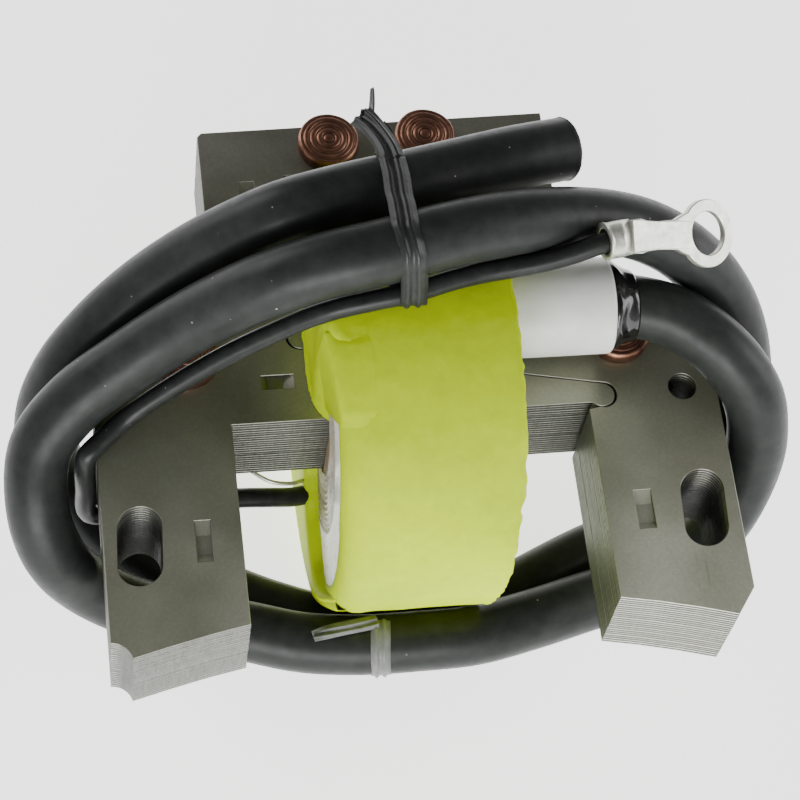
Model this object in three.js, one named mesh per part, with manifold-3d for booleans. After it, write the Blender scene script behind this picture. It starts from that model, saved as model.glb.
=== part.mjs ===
// Breaker-points ignition coil for a small engine: two interlocking laminated
// stacks, a potted coil on the core, a white high-tension boot, a loop of
// high-tension lead and a primary wire with a ring terminal.
// Millimetres, +Z up. X runs along the core, the pole faces look towards -Y.
import * as THREE from 'three';
import { mergeVertices } from 'three/addons/utils/BufferGeometryUtils.js';
import Module from 'manifold-3d';

const wasm = await Module();
wasm.setup();

// ---------------------------------------------------------------- dimensions
const STACK_T = 12.7;            // height of the lamination stack
const LEG_IN = 20.0;             // inner edge of each leg from the centre line
const LEG_OUT = 34.9;            // outer edge of each leg
const SHOULDER_Y = 4.5;          // where the outer edge turns into the shoulder
const POLE_IN_Y = -23.6;         // inner corner of the pole face
const POLE_R = 116.5;            // flywheel radius that the pole faces follow
const CORE_W = 12.0;             // depth of the core along Y
const YOKE_L = -20.7, YOKE_R = 20.0;
const YOKE_IN = 31.6;            // front edge of the rear yoke
const YOKE_BACK_L = 37.9, YOKE_BACK_R = 38.5;
const WIN_L = -11.2, WIN_R = 11.6;
const ARM_JOINT_Y = 20.0;        // butt joint of the two stacks on the left arm
const TIP_R = 1.5;               // rounded tips of the tapered core fingers
const TIP_A = [21.7, 0.9];       // tip of the front finger
const TIP_B = [-11.3, 10.4];     // tip of the rear finger
const JOINT_GAP = 0.2;
const SLOT = { x: 31.0, y: -13.7, w: 4.9, l: 9.2, lean: 0.05 };
const HOLE_R = 1.6;              // plain round holes
const RIVETS = [[-24.2, 8.1], [24.5, 8.1], [-5.65, 35.2], [5.65, 35.2]];
const RIVET_HEAD_R = 3.55, RIVET_HEAD_H = 2.0, RIVET_SHANK_R = 1.6;

const AXIS_Y = 6.0, AXIS_Z = 6.35;   // axis of the core and of the winding
const COIL_R = 24.7, COIL_L = -9.7;
const COIL_BORE_R = 21.5;
const WALL_X = 5.2;              // inside face of the right-hand coil wall
const WIND_R = 15.4;             // outside of the secondary winding

const BOOT_Y = 8.0, BOOT_Z = 20.5, BOOT_R = 5.35, BOOT_BORE = 3.85;
const BOOT_X0 = 9.35, BOOT_X1 = 22.1;
const LEAD_R = 3.38;             // section of the 7 mm high-tension lead
const WIRE_R = 1.1;              // section of the 2.3 mm primary wire
const EARTH_R = 0.3;
const TIE_W = 2.9, TIE_T = 0.35;

// high-tension lead, boot to cut end
const LEAD_PATH = [
  [13.5, 8.0, 20.5], [18.5, 8.0, 20.5], [23.0, 8.0, 20.5],
  [29.3, 6.3, 20.1], [34.6, 2.8, 18.2], [38.4, -0.6, 14.0], [39.9, -3.2, 8.1],
  [39.5, -5.6, 1.9], [37.2, -8.4, -3.7], [32.7, -11.2, -7.6], [26.7, -13.4, -9.4], [20.2, -15.1, -9.7],
  [13.8, -16.8, -9.5], [7.3, -18.2, -9.2], [0.7, -18.5, -9.0], [-6.0, -18.4, -9.0], [-12.6, -17.5, -9.2],
  [-19.0, -15.7, -8.9], [-25.4, -14.0, -8.4], [-31.8, -12.4, -6.9], [-37.0, -10.7, -3.3], [-40.2, -9.3, 2.4],
  [-41.6, -5.8, 7.8], [-40.8, -0.9, 12.2], [-36.7, 2.4, 16.3], [-31.5, 4.4, 20.0], [-26.4, 5.8, 23.9],
  [-21.5, 6.2, 28.4], [-16.6, 6.0, 32.9], [-10.7, 6.2, 35.9], [-4.2, 7.0, 36.9], [2.3, 8.5, 36.8],
  [8.7, 10.2, 35.6], [14.8, 11.7, 33.5], [20.7, 12.8, 30.7], [26.4, 13.2, 27.1], [31.4, 12.6, 22.9],
  [35.6, 11.1, 17.9], [38.5, 8.7, 12.4], [40.0, 5.9, 6.6], [40.1, 2.8, 0.6], [38.6, -0.3, -5.0],
  [34.6, -3.4, -9.3], [29.0, -5.7, -11.9], [22.7, -7.5, -13.1], [16.5, -9.9, -14.0], [10.5, -12.5, -14.6],
  [4.0, -13.8, -14.8], [-2.7, -13.8, -14.7], [-9.3, -13.1, -14.7], [-15.6, -11.0, -14.3], [-21.7, -8.5, -13.1],
  [-27.7, -6.2, -11.3], [-33.1, -3.0, -9.2], [-37.2, 0.9, -5.7], [-39.7, 3.8, -0.3], [-40.0, 6.0, 5.9],
  [-37.7, 8.5, 11.7], [-33.9, 10.7, 16.6], [-29.3, 12.6, 21.0], [-24.4, 13.7, 25.4], [-19.5, 14.0, 29.8],
  [-14.0, 14.2, 33.6], [-7.5, 15.2, 34.7], [-1.1, 16.7, 34.2], [5.2, 18.6, 33.1], [11.5, 20.5, 32.0],
  [17.7, 22.4, 30.3],
];
const LEAD_STEPS = 78;

// ring terminal: barrel on the wire, tongue bent down to the eye
const TERM_C = [20.55, 8.05, 34.85];        // centre of the crimp barrel
const TERM_B = [0.975, 0.2, -0.1];       // direction of the barrel
const EYE_C = [31.9, 11.0, 30.0];        // centre of the eye
const EYE_OD = 7.4, EYE_ID = 4.8, TERM_T = 0.8, TERM_NECK = 3.1;
const BARREL_R = 2.1, BARREL_BORE = 1.4, BARREL_L = 2.6;

// primary wire, coil end to terminal
const WIRE_PATH = [
  [-11.75, -0.9, -5.3], [-12.9, -1.25, -4.65], [-15.0, -1.7, -3.4], [-18.7, -2.0, -2.3], [-23.0, -2.4, -1.7],
  [-28.0, -2.9, -1.45], [-33.6, -3.3, -1.45], [-35.5, -3.4, -1.0], [-36.2, -3.45, 0.6], [-36.2, -3.45, 6.0],
  [-36.2, -3.35, 11.4], [-35.9, -2.95, 13.4], [-34.2, -1.65, 14.25], [-31.35, 0.35, 15.4], [-25.8, 2.0, 19.6],
  [-20.35, 2.9, 24.0], [-15.1, 3.3, 28.0], [-12.4, 3.3, 30.2], [-9.6, 3.2, 32.0], [-5.5, 3.4, 33.1],
  [-1.5, 3.9, 33.4], [2.6, 5.2, 33.05], [6.0, 6.0, 32.9], [9.3, 6.35, 33.05], [12.5, 6.6, 33.45],
  [15.9, 7.05, 34.1], [18.6, 7.6, 34.75], [20.9, 8.12, 34.85],
];
const WIRE_STEPS = 60;

const EARTH_PATH = [
  [-11.25, 0.5, -4.1], [-12.2, -0.4, -2.7], [-13.4, -0.7, -2.0], [-15.0, -0.6, -1.4], [-16.6, 0.2, -0.9], [-18.2, 1.6, -0.55],
];

// ---------------------------------------------------------------- materials
const mat = (color, roughness, metalness) => new THREE.MeshStandardMaterial({ color, roughness, metalness });

// ---------------------------------------------------------------- solid tools
function toManifold(geometry) {
  const g = geometry.index ? geometry.clone() : geometry;
  const b = new THREE.BufferGeometry();
  b.setAttribute('position', g.getAttribute('position').clone());
  if (g.index) b.setIndex(g.index.clone());
  const m = mergeVertices(b, 1e-4);
  const man = new wasm.Manifold(new wasm.Mesh({
    numProp: 3,
    vertProperties: new Float32Array(m.getAttribute('position').array),
    triVerts: new Uint32Array(m.index.array),
  }));
  return man;
}
function toGeometry(man) {
  const m = man.getMesh();
  const g = new THREE.BufferGeometry();
  g.setAttribute('position', new THREE.BufferAttribute(new Float32Array(m.vertProperties), 3));
  g.setIndex(new THREE.BufferAttribute(new Uint32Array(m.triVerts), 1));
  g.computeVertexNormals();
  return g;
}
const shapeOf = (pts) => new THREE.Shape(pts.map((p) => new THREE.Vector2(p[0], p[1])));
const pathOf = (pts) => new THREE.Path(pts.map((p) => new THREE.Vector2(p[0], p[1])));
function plate(outline, z0, z1, holes = []) {
  const s = shapeOf(outline);
  holes.forEach((h) => s.holes.push(pathOf(h)));
  const g = new THREE.ExtrudeGeometry(s, { depth: z1 - z0, bevelEnabled: false, curveSegments: 1 });
  g.translate(0, 0, z0);
  return g;
}
// arc points from a0 to a1 in degrees
function arc(cx, cy, r, a0, a1, n) {
  const out = [];
  for (let i = 0; i <= n; i++) {
    const a = (a0 + ((a1 - a0) * i) / n) * Math.PI / 180;
    out.push([cx + r * Math.cos(a), cy + r * Math.sin(a)]);
  }
  return out;
}
const circle = (cx, cy, r, n = 24) => arc(cx, cy, r, 0, 360 * (1 - 1 / n), n - 1);
function slotHole(cx, cy, w, l, lean) {
  const r = w / 2, h = l / 2 - r;
  const pts = [...arc(0, h, r, 0, 180, 9), ...arc(0, -h, r, 180, 360, 9)];
  return pts.map(([x, y]) => [cx + x + lean * y, cy + y]);
}
// solid of revolution about the X axis through (y, z); profile is [x, r] and closed
function turned(profile, y, z, segments = 40) {
  const pts = profile.map(([x, r]) => new THREE.Vector2(r, x));
  pts.push(pts[0].clone());
  const g = new THREE.LatheGeometry(pts, segments);
  g.rotateZ(-Math.PI / 2);
  g.translate(0, y, z);
  return g;
}
const ring = (x0, x1, r0, r1, y = AXIS_Y, z = AXIS_Z, n = 40) => turned([[x0, r0], [x0, r1], [x1, r1], [x1, r0]], y, z, n);
function outward(geometry) {
  // a closed mesh whose faces may look inward is turned the right way out
  const man = toManifold(geometry);
  if (man.volume() >= 0) return man;
  const g = geometry.clone();
  const idx = mergeVertices(stripped(g), 1e-4);
  const a = idx.index.array;
  for (let i = 0; i < a.length; i += 3) { const t = a[i]; a[i] = a[i + 1]; a[i + 1] = t; }
  return toManifold(idx);
}
function stripped(g) {
  const b = new THREE.BufferGeometry();
  b.setAttribute('position', g.getAttribute('position').clone());
  if (g.index) b.setIndex(g.index.clone());
  return b;
}
function box(x0, x1, y0, y1, z0, z1) {
  const g = new THREE.BoxGeometry(x1 - x0, y1 - y0, z1 - z0);
  g.translate((x0 + x1) / 2, (y0 + y1) / 2, (z0 + z1) / 2);
  return g;
}
function tube(points, r, sides, steps) {
  const curve = new THREE.CatmullRomCurve3(points.map((p) => new THREE.Vector3(...p)), false, 'centripetal');
  const s = shapeOf(circle(0, 0, r, sides));
  return new THREE.ExtrudeGeometry(s, { steps, extrudePath: curve, bevelEnabled: false, curveSegments: 1 });
}
function cylinderZ(cx, cy, r, z0, z1, n = 28) {
  const g = new THREE.CylinderGeometry(r, r, z1 - z0, n);
  g.rotateX(Math.PI / 2);
  g.translate(cx, cy, (z0 + z1) / 2);
  return g;
}

const group = new THREE.Group();
const nonCord = [];
function add(name, solid, material, cord = false) {
  const geometry = solid.getMesh ? toGeometry(solid) : toGeometry(outward(solid));
  const mesh = new THREE.Mesh(geometry, material);
  mesh.name = name;
  group.add(mesh);
  if (!cord) nonCord.push(mesh);
  return mesh;
}

// ---------------------------------------------------------------- stacks
const poleY = (x) => POLE_IN_Y - Math.sqrt(POLE_R ** 2 - LEG_IN ** 2) + Math.sqrt(POLE_R ** 2 - x ** 2);
const fingerLine = (x) => {
  // the slanting seam between the two core fingers
  const x0 = TIP_A[0], y0 = TIP_A[1] + TIP_R, x1 = TIP_B[0], y1 = TIP_B[1] - TIP_R;
  return y0 + ((x - x0) / (x1 - x0)) * (y1 - y0);
};
const half = JOINT_GAP / 2;
const frontOutline = [
  [-LEG_IN, 0], [19.9, 0], [20.5, 0],
  ...arc(TIP_A[0], TIP_A[1], TIP_R - half, -130, 80, 12),
  [21.0, fingerLine(21.0) - half], [TIP_B[0] + 0.9, fingerLine(TIP_B[0] + 0.9) - half],
  ...arc(TIP_B[0], TIP_B[1], TIP_R + half, -80, -262, 12),
  [WIN_L, CORE_W + 0.15], [WIN_L, ARM_JOINT_Y - half], [YOKE_L, ARM_JOINT_Y - half], [YOKE_L, 17.6],
  [-LEG_OUT, SHOULDER_Y],
  ...arc(-LEG_OUT - 0.05, -26.95, 2.35, 88.8, 12, 6),
  [-28.5, poleY(28.5)], [-24.2, poleY(24.2)], [-LEG_IN, poleY(LEG_IN)],
];
const backOutline = [
  [LEG_IN, poleY(LEG_IN)], [24.2, poleY(24.2)], [28.5, poleY(28.5)], [32.7, poleY(32.7)], [LEG_OUT, -23.5],
  [LEG_OUT, SHOULDER_Y], [YOKE_R, 18.1], [YOKE_R, YOKE_BACK_R], [YOKE_L + 0.5, YOKE_BACK_L], [YOKE_L, YOKE_BACK_L - 0.5],
  [YOKE_L, ARM_JOINT_Y + half], [WIN_L, ARM_JOINT_Y + half], [WIN_L, YOKE_IN], [WIN_R, YOKE_IN], [WIN_R, CORE_W],
  [TIP_B[0] + 0.6, CORE_W - 0.12],
  ...arc(TIP_B[0], TIP_B[1], TIP_R - half, 100, 280, 12),
  [TIP_B[0] + 0.9, fingerLine(TIP_B[0] + 0.9) + half], [21.0, fingerLine(21.0) + half],
  ...arc(TIP_A[0], TIP_A[1], TIP_R + half, 80, -110, 12),
  [LEG_IN, -0.8],
];
const rivetHole = (i) => circle(RIVETS[i][0], RIVETS[i][1], RIVET_SHANK_R + 0.2, 20);
const steel = () => mat(0x5d5b50, 0.42, 0.75);
add('front_lamination_stack', plate(frontOutline, 0, STACK_T, [
  slotHole(-SLOT.x, SLOT.y, SLOT.w, SLOT.l, SLOT.lean), rivetHole(0),
]), steel());
add('back_lamination_stack', plate(backOutline, 0, STACK_T, [
  slotHole(SLOT.x, SLOT.y, SLOT.w, SLOT.l, SLOT.lean), rivetHole(1), rivetHole(2), rivetHole(3),
  circle(31.0, 1.3, HOLE_R, 20), circle(14.6, 34.7, HOLE_R, 20),
]), steel());

// rivets: turned head above, shank, formed tail below
RIVETS.forEach(([x, y], i) => {
  const R = RIVET_HEAD_R, H = RIVET_HEAD_H, z0 = STACK_T + 0.12;
  const profile = [
    [0, -1.45], [2.6, -1.45], [2.95, -1.0], [2.95, -0.12], [RIVET_SHANK_R, -0.12],
    [RIVET_SHANK_R, z0], [R, z0], [R, z0 + H * 0.55], [R - 0.35, z0 + H * 0.8], [2.3, z0 + H], [0, z0 + H],
  ].map(([r, z]) => new THREE.Vector2(r, z));
  const g = new THREE.LatheGeometry(profile, 28);
  g.rotateX(Math.PI / 2);
  g.translate(x, y, 0);
  add(`rivet_${i + 1}`, g, mat(0x9a4a2c, 0.35, 0.9));
});

// ---------------------------------------------------------------- coil
const cyl = (x0, x1, r, n = 56) => turned([[x0, 0], [x0, r], [x1, r], [x1, 0]], AXIS_Y, AXIS_Z, n);
// overmould shell, open to the left, with a wall on the right
let shell = outward(turned([
  [COIL_L, COIL_BORE_R], [COIL_L, 22.2], [COIL_L + 0.45, 23.5], [COIL_L + 1.3, 24.35], [COIL_L + 2.3, COIL_R],
  [10.6, COIL_R], [10.6, 10.75], [WALL_X, 10.75], [WALL_X, COIL_BORE_R],
], AXIS_Y, AXIS_Z, 56));
// the right-hand face leans outwards towards the top front
const leanCut = new THREE.BoxGeometry(20, 80, 80);
leanCut.translate(10, 0, 0);
leanCut.rotateZ(0.030);
leanCut.rotateY(-0.060);
leanCut.translate(7.85, AXIS_Y, AXIS_Z);
shell = shell.subtract(outward(leanCut));
// end cap that stands on the stack at the upper left
const capPlan = [[-10.9, 16.8], [-10.9, 3.4], [-10.65, 1.9], [-10.0, 0.6], [-9.1, -0.3], [-8.0, -0.6], [-8.0, 16.8]];
let cap = outward(plate(capPlan, STACK_T + 0.25, 34));
cap = cap.intersect(outward(turned([[-11.5, 0], [-11.5, 22.3], [-10.4, 23.4], [-9.2, 24.2], [-7.5, 24.4], [-7.5, 0]], AXIS_Y, AXIS_Z, 56)));
cap = cap.subtract(outward(cyl(-9.6, -7, COIL_BORE_R)));
shell = shell.add(cap);
// matching cap below the core, where the wires enter
const lowPlan = [[12, -1.7], [3, -1.9], [0.9, -3.3], [-1.5, -5.0], [-3.5, -6.2], [-5.8, -6.7], [-9.7, -7.0], [-12.5, -5.4], [-14.8, -2.4],
  ...arc(AXIS_Y, AXIS_Z, 22.7, 203, 340, 22), [25.0, -1.7]];
const lowCap = new THREE.ExtrudeGeometry(shapeOf(lowPlan), { depth: 1.9, bevelEnabled: false, curveSegments: 1 });
lowCap.applyMatrix4(new THREE.Matrix4().set(0, 0, 1, -10.9, 1, 0, 0, 0, 0, 1, 0, 0, 0, 0, 0, 1));
shell = shell.add(outward(lowCap).subtract(outward(cyl(-9.75, -7, COIL_BORE_R))));
// passage for the high-tension pin
shell = shell.subtract(outward(turned([[0, 0], [0, 1.1], [12, 1.1], [12, 0]], BOOT_Y, BOOT_Z, 16)));
add('coil_overmould', shell, mat(0xc4cc33, 0.5, 0.0));

// bobbin: round tube with a rectangular opening for the core and its wedge
let bobbin = outward(cyl(-9.0, 6.7, 10.4, 40));
bobbin = bobbin.subtract(outward(box(-12, 12, -0.3, CORE_W + 0.3, -1.2, STACK_T + 0.3)));
add('bobbin_tube', bobbin, mat(0xb89a6a, 0.8, 0.0));
add('primary_winding', ring(-8.0, 4.6, 10.6, 11.9), mat(0x9c4f25, 0.35, 0.8));
add('interlayer_insulation', ring(-8.6, 4.8, 12.05, 12.4), mat(0xd8cfae, 0.85, 0.0));
add('secondary_winding', turned([[-8.2, 12.55], [-6.9, WIND_R], [3.0, WIND_R], [4.2, 12.55]], AXIS_Y, AXIS_Z, 40), mat(0x8c3f1e, 0.4, 0.7));
add('resin_fill', ring(-8.9, 4.9, WIND_R + 0.2, COIL_BORE_R - 0.25), mat(0xcfcba8, 0.5, 0.0));
add('end_potting', ring(-9.55, -9.15, 9.3, COIL_BORE_R - 0.25), mat(0xd9d8bd, 0.45, 0.0));
let wedge = outward(box(-14.6, 6.0, 0.6, 11.4, -0.9, -0.2));
wedge = wedge.add(outward(box(-14.6, -11.1, 0.3, 11.4, -1.55, -0.2)));
add('core_wedge', wedge, mat(0xc4cc33, 0.5, 0.0));

// ---------------------------------------------------------------- boot
add('ht_boot', turned([
  [BOOT_X0, 1.1], [BOOT_X0, BOOT_R - 0.3], [BOOT_X0 + 0.4, BOOT_R], [BOOT_X1 - 0.5, BOOT_R], [BOOT_X1, BOOT_R - 0.45],
  [BOOT_X1, BOOT_BORE], [11.5, BOOT_BORE], [11.5, 1.1],
], BOOT_Y, BOOT_Z, 32), mat(0xf2f2ee, 0.4, 0.0));
add('ht_boot_seal', turned([[22.35, 4.15], [22.35, 4.95], [23.1, 4.9], [24.2, 4.45], [24.2, 4.15]], BOOT_Y, BOOT_Z, 32), mat(0x0c0c0c, 0.12, 0.0));
add('ht_contact_pin', turned([[4.5, 0], [4.5, 0.75], [12.6, 0.75], [13.2, 0.3], [13.2, 0]], BOOT_Y, BOOT_Z, 14), mat(0xc9a24a, 0.3, 0.9));
add('ht_lead', tube(LEAD_PATH, LEAD_R, 10, LEAD_STEPS), mat(0x262826, 0.38, 0.0), true);

// ---------------------------------------------------------------- primary wire and terminal
add('primary_wire', tube(WIRE_PATH, WIRE_R, 8, WIRE_STEPS), mat(0x1f2020, 0.45, 0.0), true);
add('primary_earth_wire', tube(EARTH_PATH, EARTH_R, 8, 14), mat(0x9a9a94, 0.35, 0.9));

const V = (a) => new THREE.Vector3(...a);
function frameMatrix(origin, xAxis, zHint) {
  const x = xAxis.clone().normalize();
  const z = zHint.clone().addScaledVector(x, -zHint.dot(x)).normalize();
  const y = new THREE.Vector3().crossVectors(z, x);
  return new THREE.Matrix4().makeBasis(x, y, z).setPosition(origin);
}
const eyeDir = V(EYE_C).sub(V(TERM_C)).normalize();
const bDir = V(TERM_B).normalize();
const faceHint = new THREE.Vector3(0.442, -0.4285, 0.784);
const barrelFrame = frameMatrix(V(TERM_C), bDir, faceHint);
let barrel = turned([
  [-BARREL_L / 2, BARREL_BORE], [-BARREL_L / 2, BARREL_R], [BARREL_L / 2 - 0.3, BARREL_R], [BARREL_L / 2 + 0.35, 1.3],
  [BARREL_L / 2 + 0.35, 0], [BARREL_L / 2 - 0.5, 0], [BARREL_L / 2 - 0.5, BARREL_BORE],
], 0, 0, 20);
barrel = outward(barrel.applyMatrix4(barrelFrame));
const barrelEnd = V(TERM_C).addScaledVector(bDir, BARREL_L / 2);
const reach = V(EYE_C).distanceTo(barrelEnd);
const tongueDir = V(EYE_C).sub(barrelEnd).normalize();
const eyeFrame = frameMatrix(V(EYE_C), tongueDir, faceHint);
const tongue = outward(plate([[-reach - 0.1, -1.5], [-reach + 1.6, -TERM_NECK / 2], [-3.2, -TERM_NECK / 2], [-2.0, -2.6],
  [-2.0, 2.6], [-3.2, TERM_NECK / 2], [-reach + 1.6, TERM_NECK / 2], [-reach - 0.1, 1.5]], -TERM_T / 2, TERM_T / 2).applyMatrix4(eyeFrame));
const eyeDisc = outward(plate(circle(0, 0, EYE_OD / 2, 32), -TERM_T / 2, TERM_T / 2).applyMatrix4(eyeFrame));
const eyeBore = outward(plate(circle(0, 0, EYE_ID / 2, 28), -2, 2).applyMatrix4(eyeFrame));
add('ring_terminal', barrel.add(tongue).add(eyeDisc).subtract(eyeBore), mat(0xcfcfc6, 0.32, 0.95), true);

// ---------------------------------------------------------------- twist ties
function hullOf(pts) {
  const p = [...pts].sort((a, b) => a[0] - b[0] || a[1] - b[1]);
  const cross = (o, a, b) => (a[0] - o[0]) * (b[1] - o[1]) - (a[1] - o[1]) * (b[0] - o[0]);
  const run = (list) => {
    const h = [];
    for (const q of list) {
      while (h.length > 1 && cross(h[h.length - 2], h[h.length - 1], q) <= 1e-6) h.pop();
      h.push(q);
    }
    h.pop();
    return h;
  };
  return [...run(p), ...run([...p].reverse())];
}
// loops lie in planes across X; plan point is (Y, Z), slant shears X with Y
function acrossX(geometry, x0, y0, slant) {
  // local x -> Y, local y -> Z, local z -> X
  const m = new THREE.Matrix4().set(
    slant, 0, 1, x0 - slant * y0,
    1, 0, 0, 0,
    0, 1, 0, 0,
    0, 0, 0, 1);
  return geometry.applyMatrix4(m);
}
const bundle = [[16.4, 34.3, 3.84], [7.45, 36.9, 3.84], [3.85, 33.4, 1.42]];
const inner = hullOf(bundle.flatMap(([y, z, r]) => arc(y, z, r, 0, 345, 23)));
const outer = hullOf(bundle.flatMap(([y, z, r]) => arc(y, z, r + TIE_T, 0, 345, 23)));
let topTie = outward(acrossX(plate(outer, -TIE_W / 2, TIE_W / 2, [inner]), -2.1, 9.5, -0.04));
const tail1 = outward(acrossX(plate([[18.6, 37.35], [21.5, 36.25], [25.0, 34.6], [28.7, 34.2], [28.7, 34.7], [25.2, 35.2], [21.7, 36.8], [18.0, 38.1]], -1.2, 1.2), -2.5, 18.0, -0.25));
topTie = topTie.add(tail1);
add('twist_tie_top', topTie, mat(0x8d908d, 0.3, 0.0), true);

const LC = [-18.45, -9.0];
const hook = [...arc(LC[0], LC[1], 3.72, 64, 262, 22), ...arc(LC[0], LC[1], 3.72 + TIE_T, 262, 64, 22)];
let lowTie = outward(acrossX(plate(hook, -1.1, 1.1), -3.95, LC[0], 0.0));
const tail2 = new THREE.BoxGeometry(7.2, 1.5, 0.4);
tail2.rotateZ(0.16);
tail2.translate(-7.6, -17.75, -4.95);
lowTie = lowTie.add(outward(tail2));
add('twist_tie_bottom', lowTie, mat(0x8d908d, 0.3, 0.0), true);

// ---------------------------------------------------------------- origin
// centre of the body's base: middle of its X and Y extents, lowest point at z = 0
group.updateMatrixWorld(true);
const extent = new THREE.Box3();
nonCord.forEach((m) => extent.expandByObject(m, true));
const mid = extent.getCenter(new THREE.Vector3());
group.position.set(-mid.x, -mid.y, -extent.min.z);
group.updateMatrixWorld(true);

export default group;
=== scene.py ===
import bpy, bmesh, math
import numpy as np
from mathutils import Vector, Matrix, noise


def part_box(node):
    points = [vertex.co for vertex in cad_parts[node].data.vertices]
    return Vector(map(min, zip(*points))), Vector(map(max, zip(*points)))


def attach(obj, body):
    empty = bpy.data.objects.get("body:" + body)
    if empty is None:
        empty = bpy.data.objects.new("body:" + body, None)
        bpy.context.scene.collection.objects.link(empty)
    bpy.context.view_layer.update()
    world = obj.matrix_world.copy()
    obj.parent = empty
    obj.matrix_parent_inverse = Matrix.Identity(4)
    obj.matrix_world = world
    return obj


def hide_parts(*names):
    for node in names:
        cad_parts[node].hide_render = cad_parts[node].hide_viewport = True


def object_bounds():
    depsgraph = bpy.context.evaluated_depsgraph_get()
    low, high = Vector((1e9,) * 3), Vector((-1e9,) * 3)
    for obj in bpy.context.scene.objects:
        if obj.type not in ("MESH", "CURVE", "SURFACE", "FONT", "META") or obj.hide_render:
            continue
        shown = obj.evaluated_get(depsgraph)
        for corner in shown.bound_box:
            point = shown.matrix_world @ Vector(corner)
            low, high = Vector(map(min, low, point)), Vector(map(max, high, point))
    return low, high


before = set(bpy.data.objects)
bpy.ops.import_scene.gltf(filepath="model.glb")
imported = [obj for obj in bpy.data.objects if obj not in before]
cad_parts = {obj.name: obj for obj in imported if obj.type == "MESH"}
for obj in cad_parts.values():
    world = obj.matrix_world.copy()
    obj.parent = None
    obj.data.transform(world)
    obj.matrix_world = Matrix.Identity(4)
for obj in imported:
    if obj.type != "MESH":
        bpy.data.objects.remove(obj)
cad_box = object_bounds()
MM = 0.001

# The part's own drawing axes, in mm, are carried into the frame by the boot's place.
blo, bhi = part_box("ht_boot")
SH = np.array([blo[0] - 9.35 * MM, (blo[1] + bhi[1]) / 2 - 8.0 * MM, (blo[2] + bhi[2]) / 2 - 20.5 * MM])


def P(x, y, z):
    return Vector((x * MM + SH[0], y * MM + SH[1], z * MM + SH[2]))


def arr(v):
    return np.asarray(v, float) * MM + SH


# ------------------------------------------------------------------ camera
cam = bpy.data.cameras.new("camera")
cam.lens = 117.7446
cam.sensor_width = 36.0
cam.clip_end = 10
cam_ob = bpy.data.objects.new("camera", cam)
bpy.context.scene.collection.objects.link(cam_ob)
right, up, back = Vector((0.98854, -0.11694, 0.09543)), Vector((0.06158, 0.88973, 0.45231)), Vector((-0.13780, -0.44125, 0.88674))
m = Matrix((right, up, back)).transposed().to_4x4()
m.translation = P(-41.1006, -126.3534, 270.1685)
cam_ob.matrix_world = m
bpy.context.scene.camera = cam_ob


# ------------------------------------------------------------------ helpers
def link(ob, body="root"):
    if ob.name not in bpy.context.scene.collection.objects:
        bpy.context.scene.collection.objects.link(ob)
    if body:
        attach(ob, body)
    return ob


def mesh_ob(name, verts, faces, material, smooth=True, cols=None, flip=False):
    """verts in the drawing's mm."""
    me = bpy.data.meshes.new(name)
    v = arr(verts)
    me.from_pydata([tuple(a) for a in v], [], [tuple(f) for f in faces])
    bm = bmesh.new()
    bm.from_mesh(me)
    bmesh.ops.recalc_face_normals(bm, faces=bm.faces)
    bm.to_mesh(me)
    bm.free()
    if cols is not None:
        ca = me.color_attributes.new("tint", "FLOAT_COLOR", "POINT")
        flat = np.ones((len(verts), 4))
        flat[:, :3] = cols
        ca.data.foreach_set("color", flat.ravel())
    me.polygons.foreach_set("use_smooth", [smooth] * len(me.polygons))
    me.materials.append(material)
    ob = bpy.data.objects.new(name, me)
    link(ob)
    return ob


def grid_faces(n, k, wrap_n=False, wrap_k=False):
    """faces of a grid with n rows of k points"""
    out = []
    for i in range(n if wrap_n else n - 1):
        for j in range(k if wrap_k else k - 1):
            a, b = i * k + j, i * k + (j + 1) % k
            c, d = ((i + 1) % n) * k + (j + 1) % k, ((i + 1) % n) * k + j
            out.append((a, b, c, d))
    return out


def fbm(p, scale=1.0, octaves=3):
    return noise.fractal(Vector(p) * scale, 0.6, 2.0, octaves, noise_basis="PERLIN_ORIGINAL")


def catmull(pts, n=10):
    """centripetal Catmull-Rom through pts"""
    Q = np.array(pts, float)
    N = len(Q)
    out = []
    d = lambda a, b: max(np.sum((a - b) ** 2) ** 0.25, 1e-4)
    for i in range(N - 1):
        p0 = Q[i - 1] if i > 0 else 2 * Q[0] - Q[1]
        p1, p2 = Q[i], Q[i + 1]
        p3 = Q[i + 2] if i + 2 < N else 2 * Q[-1] - Q[-2]
        t0, t1, t2 = d(p0, p1), d(p1, p2), d(p2, p3)
        m1 = ((p1 - p0) / t0 - (p2 - p0) / (t0 + t1) + (p2 - p1) / t1) * t1
        m2 = ((p2 - p1) / t1 - (p3 - p1) / (t1 + t2) + (p3 - p2) / t2) * t1
        for k in range(n):
            t = k / n
            out.append(p1 + m1 * t + (-3 * p1 + 3 * p2 - 2 * m1 - m2) * t * t + (2 * p1 - 2 * p2 + m1 + m2) * t ** 3)
    out.append(Q[-1])
    return np.array(out)


def curve_ob(name, pts, r, material, res=7):
    cu = bpy.data.curves.new(name, "CURVE")
    cu.dimensions = "3D"
    s = cu.splines.new("POLY")
    v = arr(pts)
    s.points.add(len(v) - 1)
    s.points.foreach_set("co", np.c_[v, np.ones(len(v))].ravel())
    s.use_smooth = True
    cu.bevel_depth = r * MM
    cu.bevel_resolution = res
    cu.use_fill_caps = True
    cu.materials.append(material)
    ob = bpy.data.objects.new(name, cu)
    link(ob)
    return ob


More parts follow.
